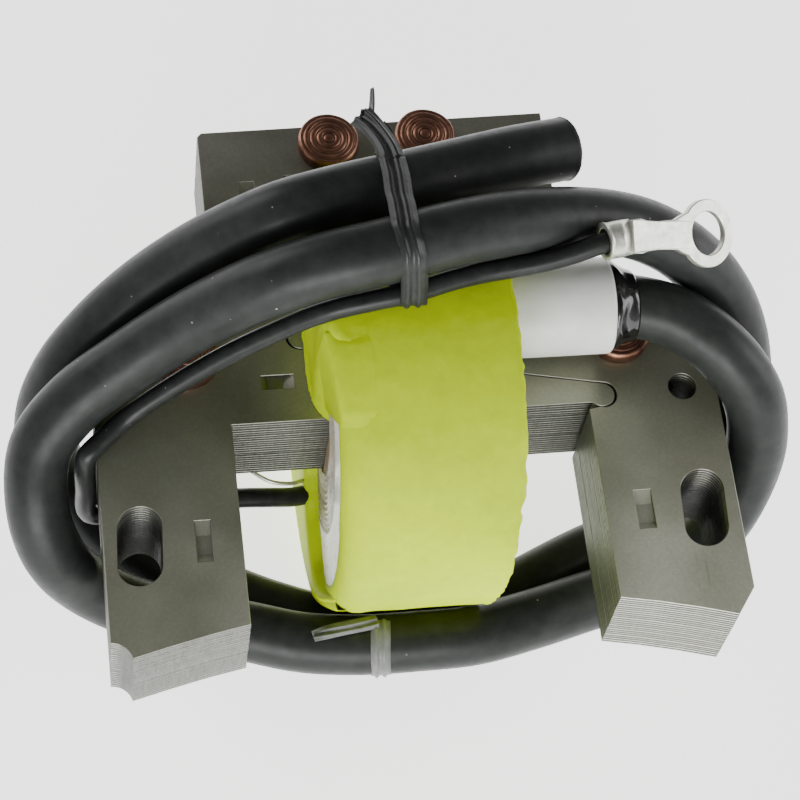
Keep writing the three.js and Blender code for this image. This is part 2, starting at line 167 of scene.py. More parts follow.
def lathe_x(profile, y, z, seg=96, wobble=0.0, seed=0.0):
    """verts and faces of a closed profile [x, r] turned about the X axis through y, z"""
    V, k = [], len(profile)
    for i in range(seg):
        a = 2 * math.pi * i / seg
        for x, r in profile:
            w = wobble * fbm((x * 0.2, r * math.cos(a) * 0.2 + seed, r * math.sin(a) * 0.2), 1.0) if wobble else 0
            V.append((x, y + (r + w) * math.cos(a), z + (r + w) * math.sin(a)))
    return V, grid_faces(seg, k, wrap_n=True, wrap_k=True)


def rounded(profile, r=0.25, n=3):
    """rounds the corners of a closed 2D profile"""
    out, N = [], len(profile)
    for i in range(N):
        a, b, c = (np.array(profile[j % N], float) for j in (i - 1, i, i + 1))
        la, lc = np.linalg.norm(a - b), np.linalg.norm(c - b)
        q = min(r, la * 0.45, lc * 0.45)
        p0, p2 = b + (a - b) / la * q, b + (c - b) / lc * q
        for t in np.linspace(0, 1, n + 1):
            out.append(tuple((1 - t) ** 2 * p0 + 2 * t * (1 - t) * b + t * t * p2))
    return out


# ------------------------------------------------------------------ materials
def mat(name):
    mt = bpy.data.materials.new(name)
    mt.use_nodes = True
    nt = mt.node_tree
    return mt, nt, nt.nodes["Principled BSDF"]


def N(nt, kind, **kw):
    n = nt.nodes.new(kind)
    for k, v in kw.items():
        setattr(n, k, v)
    return n


def pos(nt, scale=(1000, 1000, 1000)):
    """object position in mm"""
    tc = N(nt, "ShaderNodeTexCoord")
    mp = N(nt, "ShaderNodeMapping")
    mp.inputs["Scale"].default_value = scale
    nt.links.new(tc.outputs["Object"], mp.inputs["Vector"])
    return mp.outputs["Vector"]


def noise_tex(nt, vec, scale, detail=4, rough=0.6, dist=0.0):
    n = N(nt, "ShaderNodeTexNoise")
    n.inputs["Scale"].default_value = scale
    n.inputs["Detail"].default_value = detail
    n.inputs["Roughness"].default_value = rough
    n.inputs["Distortion"].default_value = dist
    nt.links.new(vec, n.inputs["Vector"])
    return n.outputs["Fac"]


def ramp(nt, fac, stops, interp="LINEAR"):
    r = N(nt, "ShaderNodeValToRGB")
    r.color_ramp.interpolation = interp
    el = r.color_ramp.elements
    while len(el) < len(stops):
        el.new(0.5)
    for e, (p, c) in zip(el, stops):
        e.position = p
        e.color = (*c, 1) if len(c) == 3 else c
    nt.links.new(fac, r.inputs["Fac"])
    return r.outputs["Color"]


def g(v):
    return (v, v, v)


def mix(nt, fac, a, b, blend="MIX"):
    mx = N(nt, "ShaderNodeMix", data_type="RGBA", blend_type=blend)
    for sock, v in ((mx.inputs[0], fac), (mx.inputs[6], a), (mx.inputs[7], b)):
        if isinstance(v, bpy.types.NodeSocket):
            nt.links.new(v, sock)
        else:
            sock.default_value = v if not isinstance(v, tuple) or len(v) == 4 else (*v, 1)
    return mx.outputs[2]


def bump(nt, bsdf, height, strength=0.2, dist=0.05, prev=None):
    b = N(nt, "ShaderNodeBump")
    b.inputs["Strength"].default_value = strength
    b.inputs["Distance"].default_value = dist * MM
    nt.links.new(height, b.inputs["Height"])
    if prev is not None:
        nt.links.new(prev, b.inputs["Normal"])
    nt.links.new(b.outputs["Normal"], bsdf.inputs["Normal"])
    return b.outputs["Normal"]


def math_n(nt, op, a, b=0.0):
    n = N(nt, "ShaderNodeMath", operation=op)
    for s, v in zip(n.inputs, (a, b)):
        if isinstance(v, bpy.types.NodeSocket):
            nt.links.new(v, s)
        else:
            s.default_value = v
    return n.outputs[0]


def steel():
    mt, nt, b = mat("stack_steel")
    v = pos(nt)
    geo = N(nt, "ShaderNodeNewGeometry")
    sep = N(nt, "ShaderNodeSeparateXYZ")
    nt.links.new(geo.outputs["True Normal"], sep.inputs[0])
    topness = ramp(nt, math_n(nt, "ABSOLUTE", sep.outputs["Z"]), [(0.5, g(0)), (0.95, g(1))])
    # top: dark olive rolled steel, cloudy oil film; painted light makes it brighter to the front of the legs, on the
    # front of the right leg and towards the back (painted reflection)
    cloud = noise_tex(nt, v, 0.07, 3, 0.5, 0.3)
    fine = noise_tex(nt, v, 2.6, 4, 0.75)
    top = ramp(nt, cloud, [(0.30, (0.165, 0.167, 0.118)), (0.52, (0.200, 0.203, 0.150)), (0.74, (0.245, 0.249, 0.192))])
    speck = ramp(nt, fine, [(0.36, g(0.92)), (0.55, g(1.0)), (0.72, g(1.12))])
    top = mix(nt, 1.0, top, speck, "MULTIPLY")
    spy = N(nt, "ShaderNodeSeparateXYZ")
    nt.links.new(v, spy.inputs[0])
    front_light_fac = N(nt, "ShaderNodeMapRange")
    front_light_fac.inputs["From Min"].default_value = -30
    front_light_fac.inputs["From Max"].default_value = 5
    front_light_fac.inputs["To Min"].default_value = 1.0
    front_light_fac.inputs["To Max"].default_value = 0.0
    nt.links.new(spy.outputs["Y"], front_light_fac.inputs["Value"])
    # painted light: the top brightened towards the front of the legs
    top = mix(nt, front_light_fac.outputs["Result"], top, mix(nt, 1.0, top, (2.15, 2.18, 2.32, 1), "MULTIPLY"))
    right_light_shade_fac = N(nt, "ShaderNodeMapRange")
    right_light_shade_fac.inputs["From Min"].default_value = 5
    right_light_shade_fac.inputs["From Max"].default_value = 25
    nt.links.new(spy.outputs["X"], right_light_shade_fac.inputs["Value"])
    # painted reflection: the top of the right leg brightened at its front
    top = mix(nt, math_n(nt, "MULTIPLY", right_light_shade_fac.outputs["Result"], front_light_fac.outputs["Result"]), top, mix(nt, 1.0, top, (1.9, 1.88, 1.92, 1), "MULTIPLY"))
    back_light_fac = N(nt, "ShaderNodeMapRange")
    back_light_fac.inputs["From Min"].default_value = 10
    back_light_fac.inputs["From Max"].default_value = 24
    nt.links.new(spy.outputs["Y"], back_light_fac.inputs["Value"])
    # painted reflection: the tops brightened towards the back
    top = mix(nt, back_light_fac.outputs["Result"], top, mix(nt, 1.0, top, (1.45, 1.42, 1.60, 1), "MULTIPLY"))
    # scratches: stretched noise, two directions
    sc = N(nt, "ShaderNodeMapping")
    sc.inputs["Rotation"].default_value = (0, 0, 0.35)
    sc.inputs["Scale"].default_value = (2.2, 0.05, 1)
    nt.links.new(v, sc.inputs["Vector"])
    scr = ramp(nt, noise_tex(nt, sc.outputs["Vector"], 1.0, 2, 0.5), [(0.66, g(0)), (0.70, g(1))])
    sc2 = N(nt, "ShaderNodeMapping")
    sc2.inputs["Rotation"].default_value = (0, 0, -0.9)
    sc2.inputs["Scale"].default_value = (0.04, 1.6, 1)
    nt.links.new(v, sc2.inputs["Vector"])
    scr2 = ramp(nt, noise_tex(nt, sc2.outputs["Vector"], 1.0, 2, 0.5), [(0.70, g(0)), (0.73, g(1))])
    gate = ramp(nt, noise_tex(nt, v, 0.13, 2, 0.5), [(0.54, g(0)), (0.66, g(0.35))])
    scratches = mix(nt, 1.0, mix(nt, 1.0, scr, scr2, "ADD"), gate, "MULTIPLY")
    top = mix(nt, scratches, top, (0.34, 0.34, 0.30, 1))
    # sides: sheared edges, grey with dark vertical drag marks; their low base tone against the brighter top is painted
    # shade set against the floor's light
    sv = N(nt, "ShaderNodeMapping")
    sv.inputs["Scale"].default_value = (3.0, 3.0, 0.35)
    nt.links.new(v, sv.inputs["Vector"])
    drag = noise_tex(nt, sv.outputs["Vector"], 1.0, 4, 0.7)
    at = N(nt, "ShaderNodeAttribute", attribute_name="tint")
    side = ramp(nt, drag, [(0.25, (0.048, 0.049, 0.046)), (0.52, (0.066, 0.067, 0.062)), (0.78, (0.090, 0.091, 0.085))])
    side = mix(nt, 1.0, side, at.outputs["Color"], "MULTIPLY")
    # painted light: the sides brightened towards the front of the legs
    side = mix(nt, front_light_fac.outputs["Result"], side, mix(nt, 1.0, side, (1.35, 1.35, 1.35, 1), "MULTIPLY"))
    # painted shade: the sides of the right leg darkened
    side = mix(nt, right_light_shade_fac.outputs["Result"], side, mix(nt, 1.0, side, (0.52, 0.52, 0.53, 1), "MULTIPLY"))
    # painted light and shade: top and sides get separately tuned tones by which way they face
    nt.links.new(mix(nt, topness, side, top), b.inputs["Base Color"])
    b.inputs["Metallic"].default_value = 0.72
    rgh = mix(nt, topness, ramp(nt, drag, [(0.3, g(0.50)), (0.7, g(0.38))]), ramp(nt, cloud, [(0.3, g(0.27)), (0.7, g(0.40))]))
    nt.links.new(rgh, b.inputs["Roughness"])
    n1 = bump(nt, b, fine, 0.05, 0.03)
    bump(nt, b, scratches, 0.25, 0.03, n1)
    return mt


def copper():
    mt, nt, b = mat("copper_rivet")
    v = pos(nt)
    a = noise_tex(nt, v, 0.7, 5, 0.65)
    at = N(nt, "ShaderNodeAttribute", attribute_name="tint")
    c = ramp(nt, a, [(0.30, (0.140, 0.072, 0.050)), (0.52, (0.210, 0.108, 0.074)), (0.75, (0.310, 0.175, 0.122))])
    c = mix(nt, 1.0, c, at.outputs["Color"], "MULTIPLY")
    nt.links.new(c, b.inputs["Base Color"])
    b.inputs["Metallic"].default_value = 0.95
    nt.links.new(ramp(nt, noise_tex(nt, v, 2.5, 3), [(0.3, g(0.36)), (0.7, g(0.50))]), b.inputs["Roughness"])
    bump(nt, b, noise_tex(nt, v, 4.0, 3), 0.15, 0.03)
    return mt


def yellow():
    mt, nt, b = mat("yellow_resin")
    v = pos(nt)
    big = noise_tex(nt, v, 0.05, 4, 0.5, 0.4)
    fine = noise_tex(nt, v, 0.7, 4, 0.6)
    c = ramp(nt, big, [(0.32, (0.315, 0.420, 0.0005)), (0.52, (0.390, 0.510, 0.0005)), (0.72, (0.445, 0.570, 0.001))])
    c = mix(nt, 1.0, c, ramp(nt, fine, [(0.3, g(0.93)), (0.7, g(1.05))]), "MULTIPLY")
    sep = N(nt, "ShaderNodeSeparateXYZ")
    nt.links.new(v, sep.inputs[0])
    # painted light: the lower part of the coil is brightened and whitened where the front light falls
    low = N(nt, "ShaderNodeMapRange")
    low.inputs["From Min"].default_value = 6
    low.inputs["From Max"].default_value = 42
    low.inputs["To Min"].default_value = 1.0
    low.inputs["To Max"].default_value = 0.0
    nt.links.new(sep.outputs["Z"], low.inputs["Value"])
    c = mix(nt, low.outputs["Result"], c, mix(nt, 1.0, c, (1.22, 1.22, 2.0, 1), "MULTIPLY"))
    nt.links.new(c, b.inputs["Base Color"])
    nt.links.new(ramp(nt, fine, [(0.3, g(0.42)), (0.7, g(0.56))]), b.inputs["Roughness"])
    b.inputs["Specular IOR Level"].default_value = 0.06
    b.inputs["Subsurface Weight"].default_value = 0.12
    b.inputs["Subsurface Radius"].default_value = (1.0, 1.0, 0.15)
    b.inputs["Subsurface Scale"].default_value = 0.0012
    n1 = bump(nt, b, noise_tex(nt, v, 0.22, 4, 0.55), 0.28, 0.5)
    bump(nt, b, noise_tex(nt, v, 3.0, 3), 0.06, 0.05, n1)
    return mt


def plastic(name, c0, c1, r0, r1, scale=0.6, bumps=0.08, specks=None, sss=0.0, metal=0.0, coat=0.0, fine=3.0, spec=0.5):
    mt, nt, b = mat(name)
    b.inputs["Specular IOR Level"].default_value = spec
    v = pos(nt)
    c = ramp(nt, noise_tex(nt, v, scale, 4, 0.6), [(0.3, c0), (0.7, c1)])
    if specks:
        vo = N(nt, "ShaderNodeTexVoronoi")
        vo.inputs["Scale"].default_value = specks[0]
        nt.links.new(v, vo.inputs["Vector"])
        dust = ramp(nt, vo.outputs["Distance"], [(0.035, g(1)), (0.075, g(0))])
        gate = ramp(nt, noise_tex(nt, v, 0.35, 3, 0.7), [(0.52, g(0)), (0.60, g(specks[1]))])
        c = mix(nt, mix(nt, 1.0, dust, gate, "MULTIPLY"), c, (0.42, 0.42, 0.38, 1))
    nt.links.new(c, b.inputs["Base Color"])
    nt.links.new(ramp(nt, noise_tex(nt, v, 0.8, 4, 0.6), [(0.3, g(r0)), (0.7, g(r1))]), b.inputs["Roughness"])
    b.inputs["Metallic"].default_value = metal
    if sss:
        b.inputs["Subsurface Weight"].default_value = sss
        b.inputs["Subsurface Radius"].default_value = (1, 1, 0.9)
        b.inputs["Subsurface Scale"].default_value = 0.001
    if coat:
        b.inputs["Coat Weight"].default_value = coat
        b.inputs["Coat Roughness"].default_value = 0.12
    n1 = bump(nt, b, noise_tex(nt, v, 0.35, 3, 0.5), bumps * 2, 0.25)
    bump(nt, b, noise_tex(nt, v, fine, 3), bumps, 0.05, n1)
    return mt


def tinted(name, rough0, rough1, metal=0.0, bumps=0.1, mul=1.0, sss=0.0):
    """colour from the piece's own tint, broken up by noise"""
    mt, nt, b = mat(name)
    v = pos(nt)
    at = N(nt, "ShaderNodeAttribute", attribute_name="tint")
    c = mix(nt, 1.0, at.outputs["Color"], ramp(nt, noise_tex(nt, v, 0.9, 5, 0.65), [(0.3, g(0.78 * mul)), (0.7, g(1.15 * mul))]), "MULTIPLY")
    nt.links.new(c, b.inputs["Base Color"])
    nt.links.new(ramp(nt, noise_tex(nt, v, 0.8, 4, 0.6), [(0.3, g(rough0)), (0.7, g(rough1))]), b.inputs["Roughness"])
    b.inputs["Metallic"].default_value = metal
    if sss:
        b.inputs["Subsurface Weight"].default_value = sss
        b.inputs["Subsurface Scale"].default_value = 0.001
    bump(nt, b, noise_tex(nt, v, 2.0, 4), bumps, 0.08)
    return mt


STEEL = steel()
COPPER = copper()
YELLOW = yellow()
LEAD = plastic("lead_rubber", (0.014, 0.016, 0.0150), (0.024, 0.0265, 0.0248), 0.33, 0.45, 0.5, 0.045, specks=(0.55, 0.8), spec=0.17)
WIRE = plastic("wire_jacket", (0.009, 0.010, 0.0095), (0.018, 0.020, 0.0185), 0.30, 0.40, 0.7, 0.045, specks=(0.8, 0.6), spec=0.20)
WHITE = plastic("white_plastic", (0.60, 0.60, 0.59), (0.69, 0.69, 0.68), 0.30, 0.42, 0.25, 0.05, sss=0.25)
SEAL = plastic("black_sealant", (0.003, 0.003, 0.003), (0.006, 0.006, 0.006), 0.10, 0.22, 0.6, 0.04, coat=0.2)
TIN = plastic("tinned_metal", (0.50, 0.50, 0.45), (0.66, 0.66, 0.60), 0.30, 0.46, 1.4, 0.10, metal=0.85, fine=5.0)
TIE = plastic("tie_plastic", (0.013, 0.0145, 0.0135), (0.024, 0.026, 0.0245), 0.26, 0.38, 0.8, 0.05, spec=0.22)
# a lighter grey copy of the tie plastic, used for the bottom tie
TIE_GREY = plastic("tie_plastic_grey", (0.105, 0.110, 0.106), (0.175, 0.180, 0.174), 0.30, 0.42, 0.8, 0.05, spec=0.35)
BRASS = plastic("contact_brass", (0.42, 0.27, 0.09), (0.62, 0.44, 0.18), 0.25, 0.4, 1.5, 0.1, metal=1.0)
BOARD = plastic("bobbin_board", (0.30, 0.20, 0.10), (0.46, 0.33, 0.18), 0.7, 0.9, 1.2, 0.3)
PAPER = plastic("winding_paper", (0.55, 0.50, 0.36), (0.70, 0.64, 0.48), 0.6, 0.85, 1.2, 0.25)
WINDING = plastic("winding_copper", (0.25, 0.08, 0.03), (0.52, 0.20, 0.08), 0.28, 0.42, 1.6, 0.2, metal=0.9)
EPOXY = tinted("clear_epoxy", 0.22, 0.40, 0.0, 0.12, 1.12, 0.2)
EPOXY_IN = plastic("clear_epoxy_inner", (0.50, 0.48, 0.34), (0.62, 0.60, 0.46), 0.3, 0.5, 0.8, 0.1, sss=0.2)

# ------------------------------------------------------------------ cords
LEAD_PATH = [
    [13.5, 8.0, 20.5], [18.5, 8.0, 20.5], [23.0, 8.0, 20.5],
    [29.3, 6.3, 20.1], [34.6, 2.8, 18.2], [38.4, -0.6, 14.0], [39.9, -3.2, 8.1],
    [39.5, -5.6, 1.9], [37.2, -8.4, -3.7], [32.7, -11.2, -7.6], [26.7, -13.4, -9.4], [20.2, -15.1, -9.7],
    [13.8, -16.8, -9.5], [7.3, -18.2, -9.2], [0.7, -18.5, -9.0], [-6.0, -18.4, -9.0], [-12.6, -17.5, -9.2],
    [-19.0, -15.7, -8.9], [-25.4, -14.0, -8.4], [-31.8, -12.4, -6.9], [-37.0, -10.7, -3.3], [-40.2, -9.3, 2.4],
    [-41.6, -5.8, 7.8], [-40.8, -0.9, 12.2], [-36.7, 2.4, 16.3], [-31.5, 4.4, 20.0], [-26.4, 5.8, 23.9],
    [-21.5, 6.2, 28.4], [-16.6, 6.0, 32.9], [-10.7, 6.2, 35.9], [-4.2, 7.0, 36.9], [2.3, 8.5, 36.8],
    [8.7, 10.2, 35.6], [14.8, 11.7, 33.5], [20.7, 12.8, 30.7], [26.4, 13.2, 27.1], [31.4, 12.6, 22.9],
    [35.6, 11.1, 17.9], [38.5, 8.7, 12.4], [40.0, 5.9, 6.6], [40.1, 2.8, 0.6], [38.6, -0.3, -5.0],
    [34.6, -3.4, -9.3], [29.0, -5.7, -11.9], [22.7, -7.5, -13.1], [16.5, -9.9, -14.0], [10.5, -12.5, -14.6],
    [4.0, -13.8, -14.8], [-2.7, -13.8, -14.7], [-9.3, -13.1, -14.7], [-15.6, -11.0, -14.3], [-21.7, -8.5, -13.1],
    [-27.7, -6.2, -11.3], [-33.1, -3.0, -9.2], [-37.2, 0.9, -5.7], [-39.7, 3.8, -0.3], [-40.0, 6.0, 5.9],
    [-37.7, 8.5, 11.7], [-33.9, 10.7, 16.6], [-29.3, 12.6, 21.0], [-24.4, 13.7, 25.4], [-19.5, 14.0, 29.8],
    [-14.0, 14.2, 33.6], [-7.5, 15.2, 34.7], [-1.1, 16.7, 34.2], [5.2, 18.6, 33.1], [11.5, 20.5, 32.0],
    [17.7, 22.4, 30.3],
]
WIRE_PATH = [
    [-11.0, -0.65, -5.65], [-11.75, -0.9, -5.3], [-12.9, -1.25, -4.65], [-15.0, -1.7, -3.4], [-18.7, -2.0, -2.3], [-23.0, -2.4, -1.7],
    [-28.0, -2.9, -1.45], [-33.6, -3.3, -1.45], [-35.5, -3.4, -1.0], [-36.2, -3.45, 0.6], [-36.2, -3.45, 6.0],
    [-36.2, -3.35, 11.4], [-35.9, -2.95, 13.4], [-34.2, -1.65, 14.25], [-31.35, 0.35, 15.4], [-25.8, 2.0, 19.6],
    [-20.35, 2.9, 24.0], [-15.1, 3.3, 28.0], [-12.4, 3.3, 30.2], [-9.6, 3.2, 32.0], [-5.5, 3.4, 33.1],
    [-1.5, 3.9, 33.4], [2.6, 5.2, 33.05], [6.0, 6.0, 32.9], [9.3, 6.35, 33.05], [12.5, 6.6, 33.45],
    [15.9, 7.05, 34.1], [18.6, 7.6, 34.75], [20.9, 8.12, 34.85],
]
lead_pts = catmull(LEAD_PATH, 8)
wire_pts = catmull(WIRE_PATH, 8)
lead = curve_ob("high_tension_lead", lead_pts, 3.5, LEAD, 8)
wire = curve_ob("ground_lead", wire_pts, 1.15, WIRE, 5)
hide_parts("ht_lead")
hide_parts("primary_wire")

# cut end of the high-tension lead: recessed face, stranded core
e = lead_pts[-1]
ed = (lead_pts[-1] - lead_pts[-4]); ed /= np.linalg.norm(ed)
eu = np.cross(ed, [0, 0, 1.0]); eu /= np.linalg.norm(eu)
ev = np.cross(ed, eu)
V, F, C = [], [], []
rows = [(3.42, -0.35, 0.02), (3.56, 0.0, 0.02), (3.50, 0.14, 0.026), (3.2, 0.20, 0.03), (1.5, 0.16, 0.028), (1.38, 0.10, 0.05), (1.36, -0.1, 0.10), (0.02, -0.1, 0.10)]
for r, x, c in rows:
    for i in range(48):
        a = 2 * math.pi * i / 48
        w = 0.05 * fbm((math.cos(a) * 3, math.sin(a) * 3, r * 2)) if r > 0.5 else 0
        V.append(tuple(e + ed * (x + w) + (eu * math.cos(a) + ev * math.sin(a)) * (r + (w if r > 3 else 0))))
        C.append(g(c))
F = grid_faces(len(rows), 48, wrap_k=True)
LEADEND = tinted("lead_cut_face", 0.45, 0.65, 0.0, 0.3)
cut = mesh_ob("lead_cut_end", V, F, LEADEND, cols=C)
V, F, C = [], [], []
for k, (rr, cnt) in enumerate(((0.0, 1), (0.50, 6), (0.98, 12))):
    for j in range(cnt):
        a0 = 2 * math.pi * j / cnt + 0.2 * k
        c0 = e + (eu * math.cos(a0) + ev * math.sin(a0)) * rr
        L = 0.16 + 0.12 * abs(math.sin(j * 2.7 + k))
        b0 = len(V)
        for q, (r, x) in enumerate(((0.23, -0.6), (0.23, L - 0.05), (0.17, L), (0.01, L + 0.01))):
            for i in range(10):
                a = 2 * math.pi * i / 10
                V.append(tuple(c0 + ed * x + (eu * math.cos(a) + ev * math.sin(a)) * r))
                C.append((0.62, 0.30, 0.16))
        F += [tuple(b0 + t for t in f) for f in grid_faces(4, 10, wrap_k=True)]
strands = mesh_ob("lead_conductor_strands", V, F, tinted("strand_copper", 0.25, 0.4, 1.0, 0.1), cols=C)

# ------------------------------------------------------------------ stacks of stamped sheets
T = 12.7
POLE_IN_Y, POLE_R, LEG_IN, LEG_OUT = -23.6, 116.5, 20.0, 34.9
TIP_A, TIP_B, TIP_R, HALF = (21.7, 0.9), (-11.3, 10.4), 1.5, 0.05


def pole_y(x):
    return POLE_IN_Y - math.sqrt(POLE_R ** 2 - LEG_IN ** 2) + math.sqrt(POLE_R ** 2 - x ** 2)


def seam(x):
    x0, y0, x1, y1 = TIP_A[0], TIP_A[1] + TIP_R, TIP_B[0], TIP_B[1] - TIP_R
    return y0 + (x - x0) / (x1 - x0) * (y1 - y0)


def arc(cx, cy, r, a0, a1, n):
    return [(cx + r * math.cos(math.radians(a0 + (a1 - a0) * i / n)), cy + r * math.sin(math.radians(a0 + (a1 - a0) * i / n))) for i in range(n + 1)]


def circle(cx, cy, r, n=40):
    return arc(cx, cy, r, 0, 360 * (1 - 1 / n), n - 1)


def slot_hole(cx, cy, w, l, lean):
    r, h = w / 2, l / 2 - w / 2
    return [(cx + x + lean * y, cy + y) for x, y in arc(0, h, r, 0, 180, 20) + arc(0, -h, r, 180, 360, 20)]


def rect(x0, x1, y0, y1):
    return [(x0, y0), (x1, y0), (x1, y1), (x0, y1)]


front_line = [(-LEG_IN, 0), (19.9, 0), (20.5, 0)] + arc(*TIP_A, TIP_R - HALF, -130, 80, 22) \
    + [(21.0, seam(21.0) - HALF), (TIP_B[0] + 0.9, seam(TIP_B[0] + 0.9) - HALF)] \
    + arc(TIP_B[0] - 0.14, TIP_B[1], TIP_R + HALF, -80, -262, 22) \
    + [(-11.2, 12.15), (-11.2, 19.9), (-20.7, 19.9), (-20.7, 17.6), (-LEG_OUT, 4.5)] \
    + arc(-LEG_OUT - 0.05, -26.95, 2.35, 88.8, 12, 12) + [(-28.5, pole_y(28.5)), (-24.2, pole_y(24.2)), (-LEG_IN, pole_y(LEG_IN))]
back_line = [(LEG_IN, pole_y(LEG_IN)), (24.2, pole_y(24.2)), (28.5, pole_y(28.5)), (32.7, pole_y(32.7)), (LEG_OUT, -23.5),
             (LEG_OUT, 4.5), (20.0, 18.1), (20.0, 38.5), (-20.2, 37.9), (-20.7, 37.4), (-20.7, 20.1), (-11.2, 20.1), (-11.2, 31.6),
             (11.6, 31.6), (11.6, 12.0), (TIP_B[0] + 0.6, 11.88)] \
    + arc(*TIP_B, TIP_R - HALF, 100, 280, 22) \
    + [(TIP_B[0] + 0.9, seam(TIP_B[0] + 0.9) + HALF), (21.0, seam(21.0) + HALF)] \
    + arc(TIP_A[0] + 0.16, TIP_A[1], TIP_R + HALF, 80, -110, 22) + [(LEG_IN, -0.8)]
RIVETS = [(-24.2, 8.1), (24.5, 8.1), (-5.65, 35.2), (5.65, 35.2)]
DIMPLES = {"front": [(-25.0, -23.3, -16.0, -11.2), (-16.2, -12.6, 4.1, 5.8)], "back": [(23.4, 25.3, -15.7, -11.1), (-16.4, -14.7, 27.6, 31.0)]}
front_holes = [slot_hole(-31.0, -13.7, 4.9, 9.2, 0.05), circle(*RIVETS[0], 1.75)]
back_holes = [slot_hole(31.0, -13.7, 4.9, 9.2, 0.05), circle(31.0, 1.3, 1.6), circle(14.6, 34.7, 1.6)] + [circle(*r, 1.75) for r in RIVETS[1:]]


def sheet_mesh(lines, thick, bev):
    """one stamped sheet, mm, centred on z = 0"""
    cu = bpy.data.curves.new("tmp", "CURVE")
    cu.dimensions = "2D"
    cu.fill_mode = "BOTH"
    cu.extrude = thick / 2 - bev
    cu.bevel_depth = bev
    cu.bevel_resolution = 0
    cu.offset = -bev
    for ln in lines:
        s = cu.splines.new("POLY")
        s.points.add(len(ln) - 1)
        for p, (x, y) in zip(s.points, ln):
            p.co = (x, y, 0, 1)
        s.use_cyclic_u = True
    ob = bpy.data.objects.new("tmp", cu)
    bpy.context.scene.collection.objects.link(ob)
    dg = bpy.context.evaluated_depsgraph_get()
    me = bpy.data.meshes.new_from_object(ob.evaluated_get(dg))
    bm = bmesh.new()
    bm.from_mesh(me)
    bmesh.ops.remove_doubles(bm, verts=bm.verts, dist=1e-4)
    bm.verts.ensure_lookup_table()
    v = [tuple(q.co) for q in bm.verts]
    f = [tuple(q.index for q in fc.verts) for fc in bm.faces]
    bm.free()
    bpy.data.objects.remove(ob)
    bpy.data.curves.remove(cu)
    return v, f


SHEETS = 23


def stack(name, line, holes, dimples, node, seed):
    pitch = T / SHEETS
    plain = sheet_mesh([line] + holes, pitch - 0.035, 0.045)
    topm = sheet_mesh([line] + holes + [rect(*d) for d in dimples], pitch - 0.02, 0.06)
    V, F, C = [], [], []
    for i in range(SHEETS):
        v, f = topm if i in (SHEETS - 1,) else plain
        a = math.sin(i * 12.9898 + seed) * 43758.5453
        rnd = a - math.floor(a)
        a2 = math.sin(i * 78.233 + seed) * 12543.123
        rnd2 = a2 - math.floor(a2)
        dx, dy = (rnd - 0.5) * 0.035, (rnd2 - 0.5) * 0.035
        if i == SHEETS - 1:
            dx = dy = 0
        z = pitch * (i + 0.5)
        b0 = len(V)
        V += [(x + dx, y + dy, q + z) for x, y, q in v]
        F += [tuple(b0 + t for t in fc) for fc in f]
        C += [g(0.90 + 0.20 * rnd)] * len(v)
    # pressed interlocks: a vee of metal hanging in each opening of the top sheet
    for x0, x1, y0, y1 in dimples:
        along_y = (y1 - y0) > (x1 - x0)
        b0 = len(V)
        n = 9
        for i in range(n):
            t = i / (n - 1)
            z = T - 0.04 - 1.05 * (t / 0.36 if t < 0.36 else (1 - t) / 0.64)
            if along_y:
                V += [(x0 + 0.02, y0 + (y1 - y0) * t, z), (x1 - 0.02, y0 + (y1 - y0) * t, z)]
            else:
                V += [(x0 + (x1 - x0) * t, y0 + 0.02, z), (x0 + (x1 - x0) * t, y1 - 0.02, z)]
            # painted highlight: the pressed vee is tinted lighter than the sheets
            C += [g(1.3)] * 2
        F += [(b0 + 2 * i, b0 + 2 * i + 1, b0 + 2 * i + 3, b0 + 2 * i + 2) for i in range(n - 1)]
    ob = mesh_ob(name, V, F, STEEL, smooth=False, cols=C)
    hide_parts(node)
    return ob


stack("front_lamination_sheets", front_line, front_holes, DIMPLES["front"], "front_lamination_stack", 1.3)
stack("back_lamination_sheets", back_line, back_holes, DIMPLES["back"], "back_lamination_stack", 4.1)

